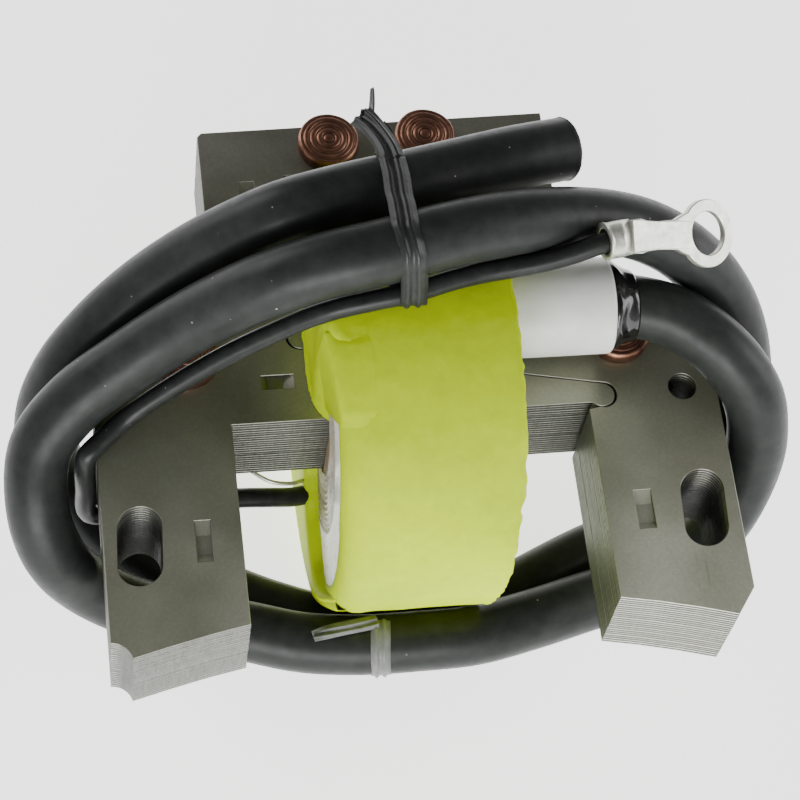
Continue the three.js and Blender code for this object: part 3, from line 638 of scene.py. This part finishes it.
# ------------------------------------------------------------------ rivets
for k, (x, y) in enumerate(RIVETS):
    R, H, z0 = 3.55, 2.0, T + 0.05
    prof = [(0.02, -1.42), (1.2, -1.45), (2.4, -1.38), (2.8, -1.1), (2.92, -0.6), (2.75, -0.08), (1.6, -0.02), (1.6, z0), (3.25, z0), (3.5, z0 + 0.08),
            (3.55, z0 + 0.35), (3.55, z0 + 1.25), (3.47, z0 + 1.6), (3.3, z0 + 1.8), (3.05, z0 + 1.84),
            (2.98, z0 + 1.70), (2.90, z0 + 1.86), (2.62, z0 + 1.90), (2.32, z0 + 1.88), (2.25, z0 + 1.66), (2.16, z0 + 1.88),
            (1.85, z0 + 1.92), (1.55, z0 + 1.90), (1.47, z0 + 1.66), (1.38, z0 + 1.90), (1.0, z0 + 1.94), (0.80, z0 + 1.90), (0.70, z0 + 1.74), (0.55, z0 + 1.88), (0.3, z0 + 1.95), (0.02, z0 + 1.96)]
    V, C = [], []
    tilt = (0.02 * math.sin(k * 2.1), 0.02 * math.cos(k * 1.7))
    for i in range(72):
        a = 2 * math.pi * i / 72
        for r, z in prof:
            w = 0.05 * fbm((math.cos(a) * 1.3 + k * 7, math.sin(a) * 1.3, r * 0.6))
            rr = r + (w if r > 1.7 else 0)
            px, py = rr * math.cos(a), rr * math.sin(a)
            up_z = z + (px * tilt[0] + py * tilt[1] if z > z0 + 0.5 else 0)
            V.append((x + px, y + py, up_z))
            # painted shade: the bottoms of the concentric grooves on the head are darkened
            dark = 0.55 if (z > z0 + 1.5 and z < z0 + 1.8 and r < 3.1) else 1.0
            # painted shade: the side of the head below its crown is darkened
            edge = 0.7 if (r > 3.3 and z < z0 + 1.4) else 1.0
            C.append((dark * edge * 1.05, dark * edge * 0.98, dark * edge * 0.95))
    ob = mesh_ob(f"rivet_head_{k + 1}", V, grid_faces(72, len(prof), wrap_n=True), COPPER, cols=C)
    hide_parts(f"rivet_{k + 1}")

# ------------------------------------------------------------------ coil
AY, AZ, CR = 6.0, 6.35, 24.7


def wall_x(y, z):
    """the right-hand face of the coil leans out towards the top front"""
    t = -0.445 * (y - AY) + 0.895 * (z - AZ)
    return 7.75 + 0.072 * t


seg = 240
rows = []
profile_l = [(-3.0, 21.45), (-9.45, 21.45), (-9.66, 21.6), (-9.72, 21.9), (-9.66, 22.3), (-9.45, 22.9), (-9.1, 23.45), (-8.6, 23.95), (-8.0, 24.3), (-7.3, 24.55), (-6.4, 24.68)]
V, C = [], []
k = 0
for i in range(seg):
    a = 2 * math.pi * i / seg
    ca, sa = math.cos(a), math.sin(a)
    row = []
    for x, r in profile_l:
        w = 0.10 * fbm((x * 0.25, r * ca * 0.16, r * sa * 0.16)) if r > 21.6 else 0
        row.append((x + 0.5 * w, AY + (r + w) * ca, AZ + (r + w) * sa))
    xe = wall_x(AY + CR * ca, AZ + CR * sa)
    fl = 0.22 * fbm((ca * 9, sa * 9, 0.3), 1.0, 4) + 0.10 * fbm((ca * 40, sa * 40, 5.3), 1.0, 3)
    lip = 0.16 + 0.16 * abs(fbm((ca * 22, sa * 22, 9.3), 1.0, 4))
    for t in np.linspace(0.06, 1, 15):
        x = -6.4 + (xe - 0.15 + 6.4) * t
        w = 0.13 * fbm((x * 0.10, CR * ca * 0.07, CR * sa * 0.07), 1.0, 4) - 0.06 * math.sin(math.pi * t)
        row.append((x, AY + (24.68 + w) * ca, AZ + (24.68 + w) * sa))
    r0 = 24.68 + w
    # flash left by the mould round the right-hand rim
    for x, r in ((xe + 0.02 + fl * 0.5, r0 + 0.02), (xe + 0.22 + fl, r0 + lip * 0.7), (xe + 0.34 + fl, r0 + lip * 0.5), (xe + 0.20 + fl * 0.8, r0 - 0.18), (xe + 0.02, r0 - 0.45)):
        row.append((x, AY + r * ca, AZ + r * sa))
    for r in (23.6, 22.0, 19.0, 16.0, 13.0, 11.0, 9.2, 7.5):
        yy, zz = AY + r * ca, AZ + r * sa
        row.append((wall_x(yy, zz) + 0.05 * fbm((yy * 0.2, zz * 0.2, 3.0)), yy, zz))
    row.append((wall_x(AY, AZ) - 1.6, AY + 7.0 * ca, AZ + 7.0 * sa))
    k = len(row)
    V += row
coil = mesh_ob("coil_body", V, grid_faces(seg, k, wrap_n=True), YELLOW)
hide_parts("coil_overmould")

# end cap standing on the stack at the upper left of the coil
plan = catmull([[-11.0, 19.5, 0], [-10.95, 17.0, 0], [-10.95, 12.0, 0], [-10.9, 7.0, 0], [-10.85, 3.6, 0], [-10.55, 1.9, 0], [-9.95, 0.7, 0], [-9.1, -0.2, 0], [-8.2, -0.62, 0], [-7.2, -0.7, 0], [-6.0, -0.5, 0]], 6)


def cap_r(x):
    return float(np.interp(x, [-11.2, -10.9, -10.6, -10.1, -9.4, -8.4, -7.0, -6.0, -5.4], [23.3, 23.9, 24.25, 24.52, 24.66, 24.73, 24.74, 24.68, 24.4]))


V = []
n_pl = len(plan)
for i, (x, y, _) in enumerate(plan):
    tx, ty = (plan[min(i + 1, n_pl - 1)] - plan[max(i - 1, 0)])[:2]
    ln = math.hypot(tx, ty)
    nx, ny = -ty / ln, tx / ln              # towards the coil
    if nx < 0 and i < n_pl // 2:
        nx, ny = -nx, -ny
    row = []

    def top(xx, yy):
        return AZ + math.sqrt(max(cap_r(xx) ** 2 - (yy - AY) ** 2, 1)) - 0.03
    zt = top(x, y)
    zb = T + 0.12
    flash = 0.16 + 0.22 * abs(fbm((x * 1.5, y * 0.9, 0.5), 1.0, 4))
    row.append((x - nx * flash, y - ny * flash, zb))
    row.append((x - nx * flash * 0.9, y - ny * flash * 0.9, zb + 0.12))
    row.append((x - nx * 0.03, y - ny * 0.03, zb + 0.25))
    for t in (0.05, 0.15, 0.3, 0.5, 0.7, 0.85):
        w = 0.12 * fbm((y * 0.35, t * 2.0, 1.7))
        row.append((x - nx * w, y - ny * w, zb + 0.25 + (zt - 1.2 - zb - 0.25) * t))
    row.append((x, y, zt - 1.0))
    row.append((x + nx * 0.10, y + ny * 0.10, zt - 0.55))
    row.append((x + nx * 0.32, y + ny * 0.32, zt - 0.2))
    for d in (0.7, 1.3, 2.2, 3.2, 4.4, 5.2):
        xx, yy = x + (d if nx > 0.2 else d * max(nx, 0.35)), y + ny * min(d, 0.6)
        xx = min(xx, -5.3)
        row.append((xx, yy, top(xx, yy)))
    V += row
    kk = len(row)
cap = mesh_ob("coil_end_cap", V, grid_faces(n_pl, kk), YELLOW)

# its shoulder runs forward over the potted face to the rim
a_up, a_fr = math.atan2(24.0, 1.5 - AY), 2.180
V = []
n_sh = 40
for i in range(n_sh):
    a = a_up + (a_fr - a_up) * i / (n_sh - 1)
    ca, sa = math.cos(a), math.sin(a)
    r_in = (T + 0.12 - AZ) / sa + 0.08 * fbm((a * 6, 1.0, 2.0))
    d = 0.45 + 2.15 * (1 - i / (n_sh - 1)) ** 1.3
    row = [(-9.3, r_in + 0.02), (-9.45 - 0.2 * d, r_in + 0.02), (-9.45 - 0.45 * d, r_in + 0.12), (-9.45 - 0.55 * d, r_in + 0.4)]
    r0 = min(r_in + 0.4, 23.2)
    row += [(-9.45 - 0.55 * d, r0 + (23.3 - r0) * t) for t in (0.2, 0.4, 0.6, 0.8)]
    row += [(-9.45 - 0.5 * d, 23.6), (-9.45 - 0.38 * d, 23.95), (-9.4 - 0.16 * d, 24.3), (-8.9, 24.6), (-8.1, 24.76), (-7.2, 24.80), (-6.2, 24.76), (-5.4, 24.4)]
    sink = 0.22 * (1 - min(1.0, i / 6, (n_sh - 1 - i) / 6))
    row = [(x, r - sink if r > 24.2 else r) for x, r in row]
    V += [(x, AY + r * ca, AZ + r * sa) for x, r in row]
shoulder = mesh_ob("coil_cap_shoulder", V, grid_faces(n_sh, len(row)), YELLOW)
# and back over it, down to the rear plate
V = []
a_bk = math.asin((T + 0.12 - AZ) / 24.3)
for i in range(n_sh):
    a = math.atan2(24.0, 9.0) + (a_bk - math.atan2(24.0, 9.0)) * i / (n_sh - 1)
    ca, sa = math.cos(a), math.sin(a)
    r_in = min((T + 0.12 - AZ) / sa, 23.9) + 0.08 * fbm((a * 6, 3.0, 2.0))
    d = 0.45 + 2.15 * (1 - i / (n_sh - 1)) ** 1.3
    row = [(-9.3, r_in + 0.02), (-9.45 - 0.2 * d, r_in + 0.02), (-9.45 - 0.45 * d, r_in + 0.12), (-9.45 - 0.55 * d, r_in + 0.4)]
    r0 = min(r_in + 0.4, 23.2)
    row += [(-9.45 - 0.55 * d, r0 + (23.3 - r0) * t) for t in (0.2, 0.4, 0.6, 0.8)]
    row += [(-9.45 - 0.5 * d, 23.6), (-9.45 - 0.38 * d, 23.95), (-9.4 - 0.16 * d, 24.3), (-8.9, 24.6), (-8.1, 24.76), (-7.2, 24.80), (-6.2, 24.76), (-5.4, 24.4)]
    sink = 0.22 * (1 - min(1.0, i / 6, (n_sh - 1 - i) / 6))
    row = [(x, r - sink if r > 24.2 else r) for x, r in row]
    V += [(x, AY + r * ca, AZ + r * sa) for x, r in row]
rear_shoulder = mesh_ob("coil_cap_rear_shoulder", V, grid_faces(n_sh, len(row)), YELLOW)

# matching cap below the core: its edge wall runs from the core to the rim
edge = catmull([[14, -1.55, 0], [6, -1.6, 0], [3, -1.75, 0], [1.6, -2.4, 0], [0.6, -3.5, 0], [-1.5, -5.0, 0], [-3.5, -6.2, 0], [-5.8, -6.75, 0], [-8.0, -7.0, 0], [-10.2, -6.7, 0], [-12.6, -5.2, 0], [-14.9, -2.2, 0], [-16.2, 0.8, 0]], 5)
V = []
for i, (y, zc, _) in enumerate(edge):
    ty, tz = (edge[min(i + 1, len(edge) - 1)] - edge[max(i - 1, 0)])[:2]
    ln = math.hypot(ty, tz)
    ny, nz = -tz / ln, ty / ln               # into the cap
    if nz > 0:
        ny, nz = -ny, -nz
    w = 0.10 * fbm((y * 0.5, zc * 0.5, 6.0))
    row = []
    for x, inn in ((-9.35, -0.35), (-9.6, -0.12), (-9.95, 0.0), (-10.35, 0.02), (-10.7, 0.12), (-10.87, 0.32), (-10.93, 0.65)):
        row.append((x + w * 0.4, y + ny * (inn + w), zc + nz * (inn + w)))
    # the flat of the cap, then over its edge to the barrel
    a1 = math.radians(198 + (342 - 198) * (1 - i / (len(edge) - 1)))
    py, pz = y + ny * 0.65, zc + nz * 0.65
    for x, r in ((-10.95, 23.0), (-10.85, 23.5), (-10.5, 23.95), (-9.9, 24.2), (-9.0, 24.35), (-8.0, 24.42)):
        ey_, ez_ = AY + r * math.cos(a1), AZ + r * math.sin(a1)
        if x == -10.95:
            for t in (0.2, 0.45, 0.7, 0.9):
                row.append((-10.93 + 0.06 * fbm((py * 0.3 + t, pz * 0.3, 1.0)), py + (ey_ - py) * t, pz + (ez_ - pz) * t))
        row.append((x, ey_, ez_))
    fade = min(1.0, (len(edge) - 1 - i) / 9, i / 4)
    fade = fade * fade * (3 - 2 * fade)
    row = [(-9.0 + (x + 9.0) * (0.12 + 0.88 * fade) if x < -9.0 else x, y, z) for x, y, z in row]
    V += row
    kk = len(row)
low_cap = mesh_ob("coil_lower_cap", V, grid_faces(len(edge), kk), YELLOW)

# potted left-hand end: milky resin ring, folded edges of the paper layers inside it
V, C = [], []
radii = [21.46, 21.2, 20.0, 18.5, 17.0, 16.2, 15.75] + list(np.linspace(15.5, 8.9, 54))
for i in range(180):
    a = 2 * math.pi * i / 180
    ca, sa = math.cos(a), math.sin(a)
    down = math.atan2(-ca, -sa)             # 0 straight down
    peak = math.exp(-(down / 0.42) ** 2) * 0.09 + math.exp(-((abs(down) - math.pi) / 0.42) ** 2) * 0.09
    for r in radii:
        if r > 15.6:
            x = -9.42 - 0.06 * fbm((r * ca * 0.2, r * sa * 0.2, 2.0))
            if r > 21.1:
                x = -9.5
            streak = 0.5 + 0.5 * fbm((r * ca * 0.12, r * sa * 0.12, 4.0))
            c = np.array([1.0, 1.0, 0.90]) * (0.94 + 0.06 * streak)
            rr = r
        else:
            rr = r
            ph = (15.5 - r) / 0.62
            ridge = abs((ph % 1) - 0.5) * 2
            x = -9.25 - 0.22 * ridge + 0.03 * (15.5 - r) + 0.05 * fbm((r * ca * 0.4, r * sa * 0.4, 8.0))
            layer = math.floor(ph)
            tone = 0.32 + 0.30 * ((layer * 0.618) % 1)
            warm = 0.5 + 0.5 * fbm((ca * 2, sa * 2, layer * 1.7))
            # painted shade and highlight: the hollows between the folded ridges darkened, the crests brightened; layer
            # tone and warmth are the paper's own
            c = np.array([tone, tone * (0.93 - 0.10 * warm), tone * (0.80 - 0.22 * warm)]) * (0.55 + 0.6 * ridge)
        V.append((x, AY + rr * ca, AZ + rr * sa))
        C.append(tuple(c))
pot = mesh_ob("potted_end_face", V, grid_faces(180, len(radii), wrap_n=True), EPOXY, cols=C)
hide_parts("end_potting")

# wedge of the same resin pressed under the core
V, F = [], []
nx_, ny_ = 26, 14
for s in (0, 1):
    for i in range(nx_):
        for j in range(ny_):
            u, w = i / (nx_ - 1), j / (ny_ - 1)
            x = -14.6 + 20.6 * u
            y = 0.6 + 10.8 * w
            if i == 0:
                x += 0.25 * abs(fbm((0, y * 0.9, 2.2)))
            z = (-0.22 if s else (-0.88 if x > -11.2 else -1.55)) + 0.05 * fbm((x * 0.5, y * 0.5, s * 5))
            edge = min(u, 1 - u, w, 1 - w)
            if edge == 0:
                z = -0.45 if s else -0.68
            V.append((x, y, z))
n1 = nx_ * ny_
F = grid_faces(nx_, ny_) + [tuple(n1 + t for t in f) for f in grid_faces(nx_, ny_)]
for i in range(nx_ - 1):
    F.append((i * ny_, (i + 1) * ny_, n1 + (i + 1) * ny_, n1 + i * ny_))
    F.append((i * ny_ + ny_ - 1, (i + 1) * ny_ + ny_ - 1, n1 + (i + 1) * ny_ + ny_ - 1, n1 + i * ny_ + ny_ - 1))
for j in range(ny_ - 1):
    F.append((j, j + 1, n1 + j + 1, n1 + j))
    q = (nx_ - 1) * ny_
    F.append((q + j, q + j + 1, n1 + q + j + 1, n1 + q + j))
wedge = mesh_ob("core_wedge_piece", V, F, YELLOW)
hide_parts("core_wedge")

# ------------------------------------------------------------------ boot and its seal
BY, BZ = 8.0, 20.5
prof = rounded([(8.2, 1.3), (8.2, 5.3), (22.1, 5.36), (22.1, 3.75), (11.5, 3.75), (11.5, 1.3)], 0.45, 5)
V, F = lathe_x(prof, BY, BZ, 96, 0.04, 3.0)
boot = mesh_ob("boot_sleeve", V, F, WHITE)
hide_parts("ht_boot")
V = []
sp = [(21.5, 3.7), (21.8, 4.3), (22.08, 4.95), (22.3, 5.05), (22.7, 4.86), (23.1, 4.58), (23.5, 4.30), (23.9, 4.10), (24.3, 3.98), (24.7, 3.90), (25.0, 3.64), (24.9, 3.45)]
for i in range(120):
    a = 2 * math.pi * i / 120
    for j, (x, r) in enumerate(sp):
        f = 0.0
        if 1 < j < 10:
            # the film gathers in a few folds
            f = 0.16 * max(0, math.cos(3 * a + 0.9 * (x - 23))) ** 6 + 0.13 * max(0, math.cos(4 * a - 1.4 * (x - 23) + 1.0)) ** 8 + 0.05 * fbm((x * 0.6, math.cos(a) * 1.3, math.sin(a) * 1.3))
        t = max(0, (x - 23) / 6.3)
        cy, cz = BY - 1.7 * t * t * 1.2, BZ - 0.4 * t * t
        V.append((x + 0.35 * f, cy + (r + f) * math.cos(a), cz + (r + f) * math.sin(a)))
seal = mesh_ob("boot_seal_film", V, grid_faces(120, len(sp), wrap_n=True), SEAL)
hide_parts("ht_boot_seal")

# ------------------------------------------------------------------ ring terminal
TC, TB, EC = np.array([20.55, 8.05, 34.85]), np.array([0.975, 0.2, -0.1]), np.array([31.9, 11.0, 30.0])
TB = TB / np.linalg.norm(TB)
hint = np.array([0.442, -0.4285, 0.784])


def basis(x, zh):
    x = x / np.linalg.norm(x)
    z = zh - x * np.dot(zh, x)
    z /= np.linalg.norm(z)
    return x, np.cross(z, x), z


bend = TC + TB * 1.85
ex, ey, ez = basis(EC - bend, hint)
bx, by, bz = basis(TB, hint)
reach = float(np.linalg.norm(EC - bend))
# flat part: tongue and eye, drawn in the plane of the eye
R_O, R_I = 3.7, 2.4
th0 = math.asin(1.55 / R_O)
outline = [(-reach - 0.3, -1.75), (-reach + 0.9, -1.85), (-reach + 1.8, -1.62), (-reach + 3.6, -1.5), (-4.6, -1.62), (-3.9, -1.95)]
outline += arc(0, 0, R_O, 180 + math.degrees(th0) + 14, 540 - math.degrees(th0) - 14, 56)
outline += [(-3.9, 1.95), (-4.6, 1.62), (-reach + 3.6, 1.5), (-reach + 1.8, 1.62), (-reach + 0.9, 1.85), (-reach - 0.3, 1.75)]
v, f = sheet_mesh([outline, circle(0, 0, R_I, 56)], 0.8, 0.09)
V = []
for x, y, z in v:
    lift = 0.0
    q = -x / reach
    curl = 0.10 * abs(y) ** 2 * min(1, max(0, (q - 0.45) / 0.4))     # tongue cups towards the barrel
    V.append(tuple(EC + ex * x + ey * y + ez * (z + curl)))
eye = mesh_ob("terminal_eye", V, f, TIN, smooth=False)
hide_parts("ring_terminal")
# crimped barrel: rolled sheet with its seam on top
V = []
nb, na = 26, 60
L0, L1 = -1.25, 2.0
for i in range(nb):
    t = i / (nb - 1)
    x = L0 + (L1 - L0) * t
    for side in (0, 1):
        for j in range(na):
            a = -math.pi / 2 + 0.05 + (2 * math.pi - 0.10) * j / (na - 1)
            base = 1.98 if side == 0 else 1.42
            press = 0.05 * math.exp(-((t - 0.45) / 0.22) ** 2)           # crimp mark
            wy = 1.0
            r = base - press * max(0, math.sin(a)) * 1.4 + (0.12 if side == 0 and t < 0.06 else 0)
            seam_dip = 0.22 * math.exp(-(((a + math.pi / 2) % (2 * math.pi)) / 0.16) ** 2) + 0.22 * math.exp(-((2 * math.pi - (a + math.pi / 2) % (2 * math.pi)) / 0.16) ** 2)
            r -= seam_dip
            yy, zz = r * math.cos(a) * wy, r * math.sin(a)
            if t > 0.45:
                sq = (t - 0.45) / 0.55
                sq = sq * sq * (3 - 2 * sq)
                zz = zz * (1 - 0.62 * sq) - 0.55 * sq
                yy = yy * (1 - 0.04 * sq)
            w = 0.03 * fbm((x * 1.2, yy, zz))
            V.append(tuple(TC + bx * x + by * (yy + w) + bz * (zz + w)))
row = 2 * na
F = []
for i in range(nb - 1):
    for j in range(na - 1):
        for s in (0, na):
            F.append((i * row + s + j, i * row + s + j + 1, (i + 1) * row + s + j + 1, (i + 1) * row + s + j))
    for j in (0, na - 1):
        F.append((i * row + j, i * row + na + j, (i + 1) * row + na + j, (i + 1) * row + j))
for i in (0, nb - 1):
    for j in range(na - 1):
        F.append((i * row + j, i * row + j + 1, i * row + na + j + 1, i * row + na + j))
barrel = mesh_ob("terminal_barrel", V, F, TIN)

# ------------------------------------------------------------------ bare earth wire
EARTH = [[-10.8, 0.7, -4.7], [-11.25, 0.5, -4.1], [-12.2, -0.4, -2.7], [-13.4, -0.7, -2.0], [-15.0, -0.6, -1.4], [-16.6, 0.2, -0.9], [-18.2, 1.6, -0.55]]
earth = curve_ob("earth_strand", catmull(EARTH, 8), 0.24, TIN, 4)
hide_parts("primary_earth_wire")


# ------------------------------------------------------------------ twist ties
def sweep(path, normal, across, section, cap_ends=True, closed=False):
    V = []
    for p, n, c in zip(path, normal, across):
        V += [tuple(np.array(p) + np.array(c) * u + np.array(n) * w) for u, w in section]
    F = grid_faces(len(path), len(section), wrap_n=closed, wrap_k=True)
    if not closed:
        F += [tuple(range(len(section))), tuple(range((len(path) - 1) * len(section), len(path) * len(section)))]
    return V, F


SECTION = [(-1.42, -0.02), (-1.45, 0.06), (-1.10, 0.09), (-0.92, 0.30), (-0.70, 0.40), (-0.48, 0.30), (-0.34, 0.12), (-0.05, 0.09), (0.14, 0.12), (0.28, 0.27), (0.50, 0.36), (0.72, 0.27),
           (0.86, 0.11), (1.45, 0.07), (1.42, -0.02), (0.5, 0.02), (-0.5, 0.02)]


def hull_of(pts):
    p = sorted(set((round(a, 5), round(b, 5)) for a, b in pts))
    cr = lambda o, a, b: (a[0] - o[0]) * (b[1] - o[1]) - (a[1] - o[1]) * (b[0] - o[0])

    def run(it):
        h = []
        for q in it:
            while len(h) > 1 and cr(h[-2], h[-1], q) <= 1e-6:
                h.pop()
            h.append(q)
        return h[:-1]
    return run(p) + run(reversed(p))


bundle = [(16.4, 34.3, 3.60), (7.45, 36.9, 3.60), (3.85, 33.4, 1.28)]
hull = np.array(hull_of([q for y, z, r in bundle for q in arc(y, z, r, 0, 355, 71)]))
seg_l = np.r_[0, np.cumsum(np.linalg.norm(np.diff(np.vstack([hull, hull[:1]]), axis=0), axis=1))]
s = np.linspace(0, seg_l[-1], 161)[:-1]
hx = np.c_[np.interp(s, seg_l, np.r_[hull[:, 0], hull[0, 0]]), np.interp(s, seg_l, np.r_[hull[:, 1], hull[0, 1]])]
path, normal, across = [], [], []
for i in range(len(hx)):
    y, z = hx[i]
    tdir = hx[(i + 1) % len(hx)] - hx[i - 1]
    tdir /= np.linalg.norm(tdir)
    nn = np.array([0, tdir[1], -tdir[0]])
    sag = 0.05 * math.sin(i * 0.5)
    path.append((-2.45 + 0.9 * min(1, max(0, (7.5 - y) / 4.5)) + 0.10 * fbm((y * 0.4, z * 0.4, 2.0)), y, z))
    normal.append(nn)
    across.append(np.array([1.0, 0.0, 0.0]) + np.array([0, tdir[0], tdir[1]]) * 0.25)
V, F = sweep(path, normal, across, SECTION, closed=True)
b0 = len(V)


def strip(pts, face, turn, width, thick=1.0, n=10):
    """a length of the ribbon along pts, lying square to face and turned by turn(t)"""
    q = catmull(pts, n)
    path, normal, across = [], [], []
    for i in range(len(q)):
        t = i / (len(q) - 1)
        d = q[min(i + 1, len(q) - 1)] - q[max(i - 1, 0)]
        d /= np.linalg.norm(d)
        n0 = np.array(face, float) - d * np.dot(d, face)
        n0 /= np.linalg.norm(n0)
        a0 = np.cross(n0, d)
        ang = turn(t)
        path.append(q[i])
        across.append((a0 * math.cos(ang) + n0 * math.sin(ang)) * width(t))
        normal.append((-a0 * math.sin(ang) + n0 * math.cos(ang)) * thick)
    return sweep(path, normal, across, SECTION)


for pts, face, turn, width in (
        ([[-2.5, 17.6, 37.75], [-2.75, 19.3, 37.35], [-3.3, 21.2, 36.75], [-4.1, 23.2, 36.0], [-4.9, 24.7, 35.3]], (-0.05, -0.30, 0.95), lambda t: 0.18 * math.sin(3.4 * t), lambda t: 1.0 - 0.10 * math.sin(3.1 * t)),
        ([[-4.95, 24.75, 35.25], [-4.4, 25.0, 35.05], [-3.8, 25.0, 35.1], [-3.5, 26.0, 35.0], [-3.3, 27.2, 34.9], [-3.12, 28.6, 34.7]], (0.8, 0.0, 0.6), lambda t: 0.9 + 0.5 * t, lambda t: 0.62 - 0.46 * t),
        ([[-2.6, 17.8, 37.2], [-2.4, 19.6, 36.6], [-2.5, 21.6, 35.9], [-2.9, 23.4, 35.3]], (0.2, 0.0, 1.0), lambda t: 0.8 * math.sin(5 * t), lambda t: 0.72 - 0.2 * t)):
    b0 = len(V)
    v2, f2 = strip(pts, face, turn, width)
    V += v2
    F += [tuple(b0 + t for t in f) for f in f2]
tie_top = mesh_ob("top_tie", V, F, TIE)
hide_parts("twist_tie_top")

ly, lz = -18.45, -9.0
path, normal, across = [], [], []
for a in np.linspace(64, 262, 60):
    ra = math.radians(a)
    n0 = np.array([0, math.cos(ra), math.sin(ra)])
    path.append((-3.95 + 0.2 * math.sin(ra * 2), ly + 3.55 * math.cos(ra), lz + 3.55 * math.sin(ra)))
    normal.append(n0)
    across.append(np.array([0.78, 0, 0]) + np.array([0, -math.sin(ra), math.cos(ra)]) * 0.12)
V, F = sweep(path, normal, across, SECTION)
b0 = len(V)
tail = catmull([[-4.2, -17.2, -5.25], [-6.2, -17.6, -4.9], [-8.4, -17.9, -4.85], [-10.2, -18.2, -4.95], [-11.7, -18.5, -5.1]], 8)
path, normal, across = [], [], []
for i in range(len(tail)):
    t = i / (len(tail) - 1)
    d = tail[min(i + 1, len(tail) - 1)] - tail[max(i - 1, 0)]
    d /= np.linalg.norm(d)
    z0_ = np.array([0, 0, 1.0]) - d * d[2]
    z0_ /= np.linalg.norm(z0_)
    y0_ = np.cross(d, z0_)
    ang = 0.5 * math.sin(t * 4)
    path.append(tail[i])
    across.append((y0_ * math.cos(ang) + z0_ * math.sin(ang)) * 0.55)
    normal.append(-y0_ * math.sin(ang) + z0_ * math.cos(ang))
v2, f2 = sweep(path, normal, across, SECTION)
V += v2
F += [tuple(b0 + t for t in f) for f in f2]
tie_low = mesh_ob("bottom_tie", V, F, TIE_GREY)
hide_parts("twist_tie_bottom")

# ------------------------------------------------------------------ CAD pieces that keep their own shape
for node, material in {"bobbin_tube": BOARD, "primary_winding": WINDING, "interlayer_insulation": PAPER, "secondary_winding": WINDING,
                       "resin_fill": EPOXY_IN, "ht_contact_pin": BRASS}.items():
    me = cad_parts[node].data
    me.materials.clear()
    me.materials.append(material)

# ------------------------------------------------------------------ floor and light
fl_me = bpy.data.meshes.new("floor")
z = cad_box[0][2] - 0.0002
fl_me.from_pydata([(-3, -3, z), (3, -3, z), (3, 3, z), (-3, 3, z)], [], [(0, 1, 2, 3)])
floor = bpy.data.objects.new("floor", fl_me)
bpy.context.scene.collection.objects.link(floor)
fm, nt, b = mat("floor_paper")
b.inputs["Base Color"].default_value = (0.95, 0.95, 0.95, 1)
b.inputs["Roughness"].default_value = 0.9
b.inputs["Specular IOR Level"].default_value = 0.1
b.inputs["Emission Color"].default_value = (1, 1, 1, 1)
b.inputs["Emission Strength"].default_value = 1.9
fl_me.materials.append(fm)

world = bpy.data.worlds.new("world")
bpy.context.scene.world = world
world.use_nodes = True
wn = world.node_tree
bg = wn.nodes["Background"]
tc = N(wn, "ShaderNodeTexCoord")
sp_ = N(wn, "ShaderNodeSeparateXYZ")
wn.links.new(tc.outputs["Generated"], sp_.inputs[0])
# bright along the front horizon, dim overhead
zen = N(wn, "ShaderNodeMapRange")
zen.inputs["From Min"].default_value = 0.15
zen.inputs["From Max"].default_value = 0.85
zen.inputs["To Min"].default_value = 1.0
zen.inputs["To Max"].default_value = 0.15
wn.links.new(sp_.outputs["Z"], zen.inputs["Value"])
fr = N(wn, "ShaderNodeMapRange")
fr.inputs["From Min"].default_value = -1.0
fr.inputs["From Max"].default_value = 0.6
fr.inputs["To Min"].default_value = 1.15
fr.inputs["To Max"].default_value = 0.50
wn.links.new(sp_.outputs["Y"], fr.inputs["Value"])
wn.links.new(math_n(wn, "MULTIPLY", zen.outputs["Result"], fr.outputs["Result"]), bg.inputs["Strength"])
bg.inputs["Color"].default_value = (1, 1, 1, 1)


def area(name, loc, target, size, power, size_y=None):
    d = bpy.data.lights.new(name, "AREA")
    d.shape = "RECTANGLE"
    d.size, d.size_y = size, size_y or size
    d.energy = power
    o = bpy.data.objects.new(name, d)
    o.location = loc
    o.rotation_euler = (Vector(target) - Vector(loc)).to_track_quat("-Z", "Y").to_euler()
    bpy.context.scene.collection.objects.link(o)
    return o


area("front", (-0.10, -0.62, 0.20), (0, 0, 0.02), 0.50, 6.0, 0.30)
area("fill_right", (0.60, -0.05, 0.22), (0, 0, 0.02), 0.35, 2.0)
area("rear_left", (-0.45, 0.45, 0.30), (0, 0, 0.02), 0.35, 2.0)
